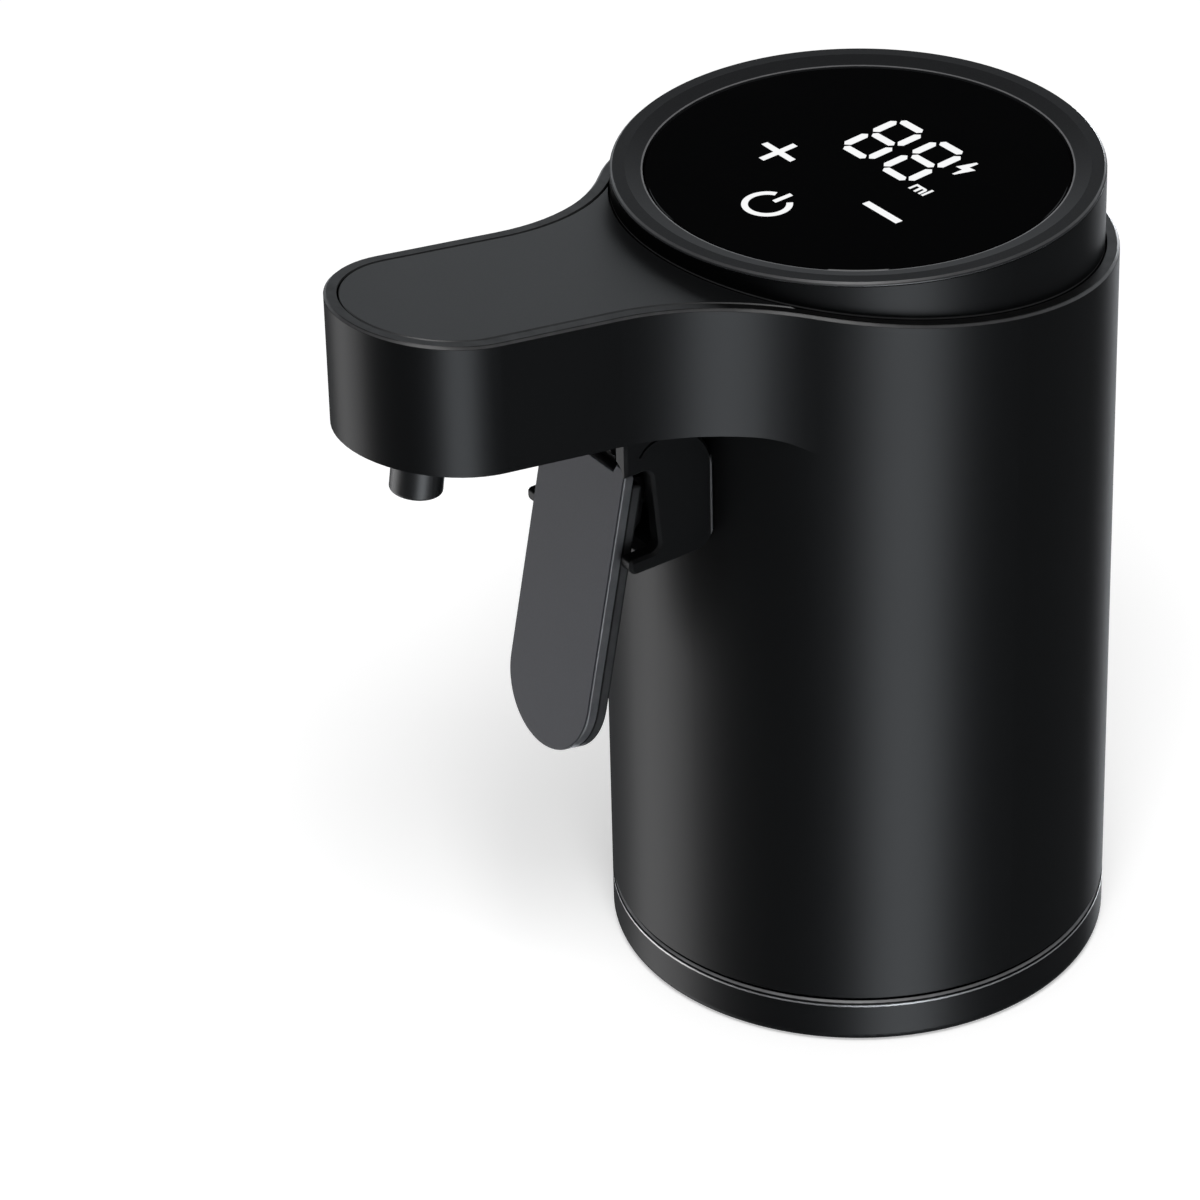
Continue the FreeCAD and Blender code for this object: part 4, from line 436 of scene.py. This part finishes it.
yoke_skin = moulded("yoke_skin", SHELL_BLACK, roughness=0.42, gloss=0.08, edges=[
    dict(across=(1.0, 0.0, 0.0), level=yoke_side - 0.22 * MM, width=0.2 * MM, tone=0.003, gloss=0.12),
    dict(across=(1.0, 1.0, 0.0), level=yoke_corner, width=0.16 * MM, tone=0.030, gloss=1.0),
    dict(across=(-1.0, 1.0, 0.0), level=yoke_corner, width=0.16 * MM, tone=0.030, gloss=1.0),
])
spring_wire = drawn_steel("spring_wire", (0.48, 0.47, 0.45), roughness=0.3, stretch=(1.0, 1.0, 1.0),
                          line_size=2600.0)
wear(yoke_skin, "lever_housing")
wear(spring_wire, "return_spring", "touch_springs")

# ---------------------------------------------------------------- paddle
# The glass pushes against the front plate: a smooth black skin that fingers and glasses polish.
# The rear plate carries the knuckles and the rib, and turns with it on the steel pin.

PLATE_OUT = (0.0, -0.981, 0.194)
PLATE_GRAIN = 4200.0
plate_corners = nodes["paddle_face"].data.vertices
face_level = max(Vector(PLATE_OUT).dot(corner.co) for corner in plate_corners)
frame_level = face_level - 1.42 * MM

# The lighter bands along the edges of both plates are painted highlights, with more gloss.
paddle_skin = moulded(
    "paddle_skin", (0.0038, 0.0046, 0.0076), roughness=0.45, gloss=0.122,
    grain_size=PLATE_GRAIN, depth=0.035, handling=0.02, edges=[
        dict(across=PLATE_OUT, level=face_level - 0.85 * MM, width=0.75 * MM, tone=0.016, gloss=0.70),
        dict(across=PLATE_OUT, level=face_level - 0.16 * MM, width=0.11 * MM, tone=0.055, gloss=0.50),
    ])
frame_skin = moulded(
    "frame_skin", (0.0010, 0.0010, 0.0011), roughness=0.45, gloss=0.10,
    grain_size=PLATE_GRAIN, depth=0.05, edges=[
        dict(across=PLATE_OUT, level=frame_level - 0.75 * MM, width=0.62 * MM, tone=0.004, gloss=0.40),
    ])
wear(paddle_skin, "paddle_face")
wear(frame_skin, "paddle_frame")

# ---------------------------------------------------------------- screws
# Zinc-plated steel screws with a hexagon drive hold the base, the stopper, the yoke and the board.
# Their heads show the faint arcs of turning.

zinc_plate = drawn_steel("zinc_plate", (0.64, 0.64, 0.63), roughness=0.27, stretch=(1.0, 1.0, 0.3),
                         line_size=1300.0)
wear(zinc_plate, "base_screws", "core_screws", "housing_screws", "board_screws")

# ---------------------------------------------------------------- head drum and bezel
# The drum carries the display above the sloped rim, and snaps into the shell over a rubber ring.
# The bezel ring closes it: a satin ring with a flat top, a bevelled edge and a sloped inner face.
# The light lines at the drum's foot, on the bezel's bevel and at its inner edge are painted highlights.

bezel_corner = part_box("bezel_ring")[1]
bezel_radius, bezel_top = bezel_corner[0], bezel_corner[2]
bezel_bevel = CONE * bezel_radius + bezel_top - 0.61 * MM

drum_skin = moulded("drum_skin", SHELL_BLACK, roughness=0.42, gloss=0.09, edges=[
    dict(across=rim_plane, level=RIM_RISE + 0.12 * MM, width=0.12 * MM, tone=0.035, gloss=0.5),
])
bezel_skin = moulded(
    "bezel_skin", (0.0150, 0.0155, 0.0166), roughness=0.38, gloss=0.34,
    grain_size=6400.0, depth=0.03, handling=0.02, edges=[
        dict(across=UP, outward=CONE, level=bezel_bevel, width=0.15 * MM, tone=0.055, gloss=1.0),
        dict(across=UP, level=bezel_top - 0.585 * MM, width=0.05 * MM, tone=0.150, gloss=1.0),
    ])
wear(drum_skin, "head_drum")
wear(bezel_skin, "bezel_ring")

# ---------------------------------------------------------------- display
# A round black glass is taped into the drum. Behind it stand the digit module and the springs of
# the touch keys. Fingers leave the faintest marks on its polish.

glass_finish, tree, skin = new_finish("black_glass", Specular_IOR_Level=0.14)
prints = reckon(tree, "SUBTRACT", noise(tree, 85.0, 6.0, 0.7), 0.45, True)
feed(tree, reckon(tree, "ADD", 0.035, reckon(tree, "MULTIPLY", prints, 0.10)), skin["Roughness"])
ink_spread = noise(tree, 900.0, 2.0, 0.5)
ink = blend(tree, ink_spread, (0.0005, 0.0005, 0.0006, 1), (0.0008, 0.0008, 0.0009, 1))
feed(tree, ink, skin["Base Color"])
foam_tape = moulded("foam_tape", (0.012, 0.012, 0.012), roughness=0.8, gloss=0.4,
                    grain_size=1100.0, depth=0.25)
module_case = moulded("module_case", (0.66, 0.66, 0.65), roughness=0.5, gloss=0.8,
                      grain_size=2400.0, depth=0.05)
wear(glass_finish, "display_glass")
wear(foam_tape, "glass_tape")
wear(module_case, "digit_module")

# ---------------------------------------------------------------- light windows of the display
# The mask behind the glass leaves clear windows for two digits, their unit, a charge sign and the
# touch keys. They glow an even cool white, with the slight speckle of the diffuser.

WINDOW_DEPTH = 0.01 * MM
WINDOW_RAISE = 0.03 * MM
# A digit's measures, in millimetres on the glass: its width, half the width of a level bar, the
# step from one level bar to the next, and the feet of its lower and upper bars.
DIGIT_WIDTH = 5.95
BAR_HALF = 0.58
BAR_STEP = 4.9
UPRIGHT_FEET = (0.87, 5.83)
DIGIT_SLANT = 0.108
DIGIT_TILT = 0.04
glass_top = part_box("display_glass")[1][2]

window_finish, tree, skin = new_finish("lit_window", Emission_Strength=0.93, Specular_IOR_Level=0.2,
                                       Base_Color=(0.05, 0.05, 0.05, 1))
speckle = noise(tree, 3800.0, 2.0, 0.5)
feed(tree, blend(tree, speckle, (0.90, 0.91, 0.92, 1), (1.0, 1.0, 1.0, 1)), skin["Emission Color"])
feed(tree, reckon(tree, "ADD", 0.25, reckon(tree, "MULTIPLY", speckle, 0.1)), skin["Roughness"])


def put_in_scene(name, data):
    """An object for a mesh, a camera or a lamp."""
    thing = bpy.data.objects.new(name, data)
    bpy.context.scene.collection.objects.link(thing)
    return thing


def finished(name, shape, finish):
    """An object from a bmesh, with its material."""
    mesh = bpy.data.meshes.new(name)
    shape.to_mesh(mesh)
    shape.free()
    mesh.materials.append(finish)
    return put_in_scene(name, mesh)


def raise_windows(window, faces):
    """Give flat windows their thin edge."""
    raised = bmesh.ops.extrude_face_region(window, geom=faces)
    tops = [item for item in raised["geom"] if isinstance(item, bmesh.types.BMVert)]
    bmesh.ops.translate(window, verts=tops, vec=(0, 0, WINDOW_RAISE))


def keep_window(name, window):
    """Set a window on the glass, and make it a piece."""
    bmesh.ops.translate(window, verts=window.verts[:], vec=(0, 0, glass_top - WINDOW_DEPTH))
    bmesh.ops.recalc_face_normals(window, faces=window.faces[:])
    piece = finished(name, window, window_finish)
    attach(piece, "body")


def window_piece(name, outlines):
    """Windows from flat outlines, whose corners are in millimetres on the glass."""
    window = bmesh.new()
    for outline in outlines:
        face = window.faces.new([window.verts.new((x * MM, y * MM, 0)) for x, y in outline])
        raise_windows(window, [face])
    keep_window(name, window)


def digit_outlines(left, low):
    """The seven bars of a digit that leans back a little."""
    upright = [(0.0, 0.52), (0.55, 0.0), (1.2, 0.6), (1.2, 3.45), (0.6, 4.05), (0.0, 3.5)]
    level = [
        (0.92, 0.0), (1.3, BAR_HALF), (4.6, BAR_HALF), (5.02, 0.0), (4.6, -BAR_HALF), (1.3, -BAR_HALF),
    ]
    bars = [[(x, y + BAR_HALF + step * BAR_STEP) for x, y in level] for step in range(3)]
    for foot in UPRIGHT_FEET:
        bars.append([(x, y + foot) for x, y in upright])
        bars.append([(DIGIT_WIDTH - x, y + foot) for x, y in upright])
    return [
        [(left + x - y * DIGIT_SLANT, low + y + x * DIGIT_TILT) for x, y in bar] for bar in bars
    ]


window_piece("digit_left", digit_outlines(-6.02, 1.22))
window_piece("digit_right", digit_outlines(1.58, 1.64))
window_piece("charge_sign", [[
    (8.39, 12.27), (8.80, 12.24), (8.85, 10.77), (9.91, 10.91),
    (9.15, 8.15), (8.81, 8.08), (8.75, 9.72), (7.64, 9.63),
]])
window_piece("unit_mark", [
    [(8.36, 1.48), (8.74, 1.49), (8.66, 2.62), (9.20, 2.66), (9.38, 1.50), (9.76, 1.52), (9.66, 2.68),
     (10.06, 2.68), (10.20, 1.56), (10.57, 1.58), (10.42, 2.84), (10.12, 3.05), (8.30, 3.00)],
    [(10.78, 1.60), (11.15, 1.60), (11.02, 3.50), (10.64, 3.50)],
])
window_piece("plus_key", [[
    (-12.02, -6.12), (-11.96, -5.22), (-9.50, -5.17), (-9.72, -2.86), (-8.78, -2.86), (-8.58, -5.15),
    (-6.14, -5.13), (-6.06, -6.06), (-8.50, -6.12), (-8.33, -8.52), (-9.30, -8.53), (-9.45, -6.14),
]])
window_piece("minus_key", [[(8.17, -5.54), (8.16, -4.47), (14.69, -4.27), (14.70, -5.34)]])

# The power key is a broken ring, swept round its middle, with a bar through the gap.
POWER_MIDDLE = Vector((1.03 * MM, -14.9 * MM, 0))
POWER_INNER = 2.39 * MM
POWER_OUTER = 3.22 * MM
POWER_START = math.radians(120.0)
POWER_SWEEP = math.radians(299.0)
POWER_STEPS = 72
POWER_BAR = ((0.70, -13.85), (0.56, -11.02), (1.26, -11.08), (1.42, -13.87))
outward = Vector((math.cos(POWER_START), math.sin(POWER_START), 0))
window = bmesh.new()
profile = [
    window.verts.new(POWER_MIDDLE + outward * distance + Vector((0, 0, rise)))
    for distance, rise in (
        (POWER_INNER, 0), (POWER_OUTER, 0), (POWER_OUTER, WINDOW_RAISE), (POWER_INNER, WINDOW_RAISE),
    )
]
start_face = window.faces.new(profile)
bmesh.ops.spin(
    window, geom=[start_face] + start_face.edges[:] + profile, cent=POWER_MIDDLE, axis=(0, 0, 1),
    angle=POWER_SWEEP, steps=POWER_STEPS, use_duplicate=False,
)
bar = window.faces.new([window.verts.new((x * MM, y * MM, 0)) for x, y in POWER_BAR])
raise_windows(window, [bar])
keep_window("power_key", window)

# ---------------------------------------------------------------- studio
# A pale glass table, seen as a plain floor, and a soft key lamp above it. Three tall soft boxes
# stand beyond the table and below it, and show only as the soft bands along the body.

SENSOR = 36.0
FRAME_PIXELS = 1200.0
FOCAL_PIXELS = 5778.05
CAMERA_PLACE = (0.50881, -0.38785, 0.45595)
CAMERA_TURN = math.radians(55.708)
CAMERA_LIFT = math.radians(32.521)
CAMERA_ROLL = math.radians(-1.569)
FLOOR_RADIUS = 6.0
FLOOR_DROP = 0.2 * MM
FLOOR_GLOW = 0.42
ROOM_LIGHT = (0.45, 0.45, 0.45, 1)
KEY_PLACE = Vector((0.515, -0.392, 1.05))
KEY_AIM = Vector((0, 0, 0.06))
KEY_SIZE = 0.45
KEY_POWER = 8.0
STRIP_DISTANCE = 1.5
STRIP_FOOT = -2.4
STRIP_HEAD = -0.15

camera_data = bpy.data.cameras.new("camera")
camera_data.sensor_width = SENSOR
camera_data.lens = SENSOR * FOCAL_PIXELS / FRAME_PIXELS
camera_data.clip_start = 0.01
camera_data.clip_end = 50.0
camera = put_in_scene("camera", camera_data)
ahead = Vector((-math.sin(CAMERA_TURN) * math.cos(CAMERA_LIFT),
                math.cos(CAMERA_TURN) * math.cos(CAMERA_LIFT), -math.sin(CAMERA_LIFT)))
right = Vector((math.cos(CAMERA_TURN), math.sin(CAMERA_TURN), 0))
up = right.cross(ahead)
rolled_right = right * math.cos(CAMERA_ROLL) + up * math.sin(CAMERA_ROLL)
rolled_up = -right * math.sin(CAMERA_ROLL) + up * math.cos(CAMERA_ROLL)
facing = Matrix((rolled_right, rolled_up, -ahead)).transposed().to_4x4()
camera.matrix_world = Matrix.Translation(CAMERA_PLACE) @ facing
bpy.context.scene.camera = camera
bpy.context.scene.view_settings.view_transform = "Standard"

# The floor glows for the camera alone, and gloss looks through it, as does a view from below.
floor_finish, tree, skin = new_finish("floor_finish", Base_Color=(0.80, 0.80, 0.80, 1), Roughness=0.9,
                                      Specular_IOR_Level=0.0, Emission_Color=(1, 1, 1, 1))
path = add_node(tree, "LightPath")
seen = reckon(tree, "MAXIMUM", path.outputs["Is Camera Ray"], path.outputs["Is Transmission Ray"])
feed(tree, reckon(tree, "MULTIPLY", seen, FLOOR_GLOW), skin["Emission Strength"])
surface = next(node for node in tree.nodes if node.type == "OUTPUT_MATERIAL").inputs["Surface"]
see_through = add_node(tree, "MixShader")
from_below = add_node(tree, "NewGeometry").outputs["Backfacing"]
feed(tree, reckon(tree, "MAXIMUM", path.outputs["Is Glossy Ray"], from_below), see_through.inputs[0])
feed(tree, surface.links[0].from_socket, see_through.inputs[1])
feed(tree, add_node(tree, "BsdfTransparent").outputs[0], see_through.inputs[2])
feed(tree, see_through.outputs[0], surface)
disc = bmesh.new()
bmesh.ops.create_circle(disc, cap_ends=True, segments=96, radius=FLOOR_RADIUS)
floor = finished("floor", disc, floor_finish)
floor.location.z = -FLOOR_DROP

# The room is white to the camera. Gloss sees it cool and white below, and nearly dark above.
world = bpy.data.worlds.new("studio")
bpy.context.scene.world = world
world.use_nodes = True
tree = world.node_tree
tree.nodes.clear()
sky = add_node(tree, "Background", inputs={"Strength": 1.0})
tree.links.new(sky.outputs["Background"], add_node(tree, "OutputWorld").inputs["Surface"])
path = add_node(tree, "LightPath")
height = add_node(tree, "SeparateXYZ")
feed(tree, add_node(tree, "TexCoord").outputs["Generated"], height.inputs[0])
low = add_node(tree, "MapRange", {"interpolation_type": "SMOOTHSTEP"}, {
    "From Min": 0.38, "From Max": 0.44, "To Min": 1.0, "To Max": 0.03,
})
feed(tree, height.outputs["Z"], low.inputs["Value"])
mirrored = reckon(tree, "MAXIMUM", path.outputs["Is Glossy Ray"], path.outputs["Is Transmission Ray"])
cool = blend(tree, low.outputs["Result"], (0, 0, 0, 1), (0.91, 0.955, 1.0, 1))
shown = blend(tree, mirrored, ROOM_LIGHT, cool)
feed(tree, blend(tree, path.outputs["Is Camera Ray"], shown, (1, 1, 1, 1)), sky.inputs["Color"])


def soft_strip(name, bearing, width, strength, tone):
    """A tall soft box beyond the glass table, that only gloss looks at."""
    away = Vector((math.cos(math.radians(bearing)), math.sin(math.radians(bearing)), 0))
    side = Vector((-away.y, away.x, 0)) * width / 2
    box = bmesh.new()
    box.faces.new([
        box.verts.new(away * STRIP_DISTANCE + side * way + Vector((0, 0, level)))
        for way, level in ((-1, STRIP_FOOT), (1, STRIP_FOOT), (1, STRIP_HEAD), (-1, STRIP_HEAD))
    ])
    finish = new_finish(name, Base_Color=(0, 0, 0, 1), Emission_Color=(*tone, 1),
                        Emission_Strength=strength)[0]
    finish.cycles.emission_sampling = "NONE"
    thing = finished(name, box, finish)
    thing.visible_camera = thing.visible_diffuse = thing.visible_shadow = False


soft_strip("left_strip", bearing=-139.0, width=1.15, strength=15.0, tone=(0.99, 0.99, 1.0))
soft_strip("right_strip", bearing=-16.0, width=0.85, strength=27.0, tone=(0.90, 0.95, 1.0))
soft_strip("rear_strip", bearing=128.0, width=0.9, strength=13.0, tone=(0.93, 0.96, 1.0))

key_data = bpy.data.lights.new("key", "AREA")
key_data.shape = "SQUARE"
key_data.size = KEY_SIZE
key_data.energy = KEY_POWER
key = put_in_scene("key", key_data)
aimed = (KEY_AIM - KEY_PLACE).to_track_quat("-Z", "Y").to_matrix().to_4x4()
key.matrix_world = Matrix.Translation(KEY_PLACE) @ aimed
key.visible_camera = False
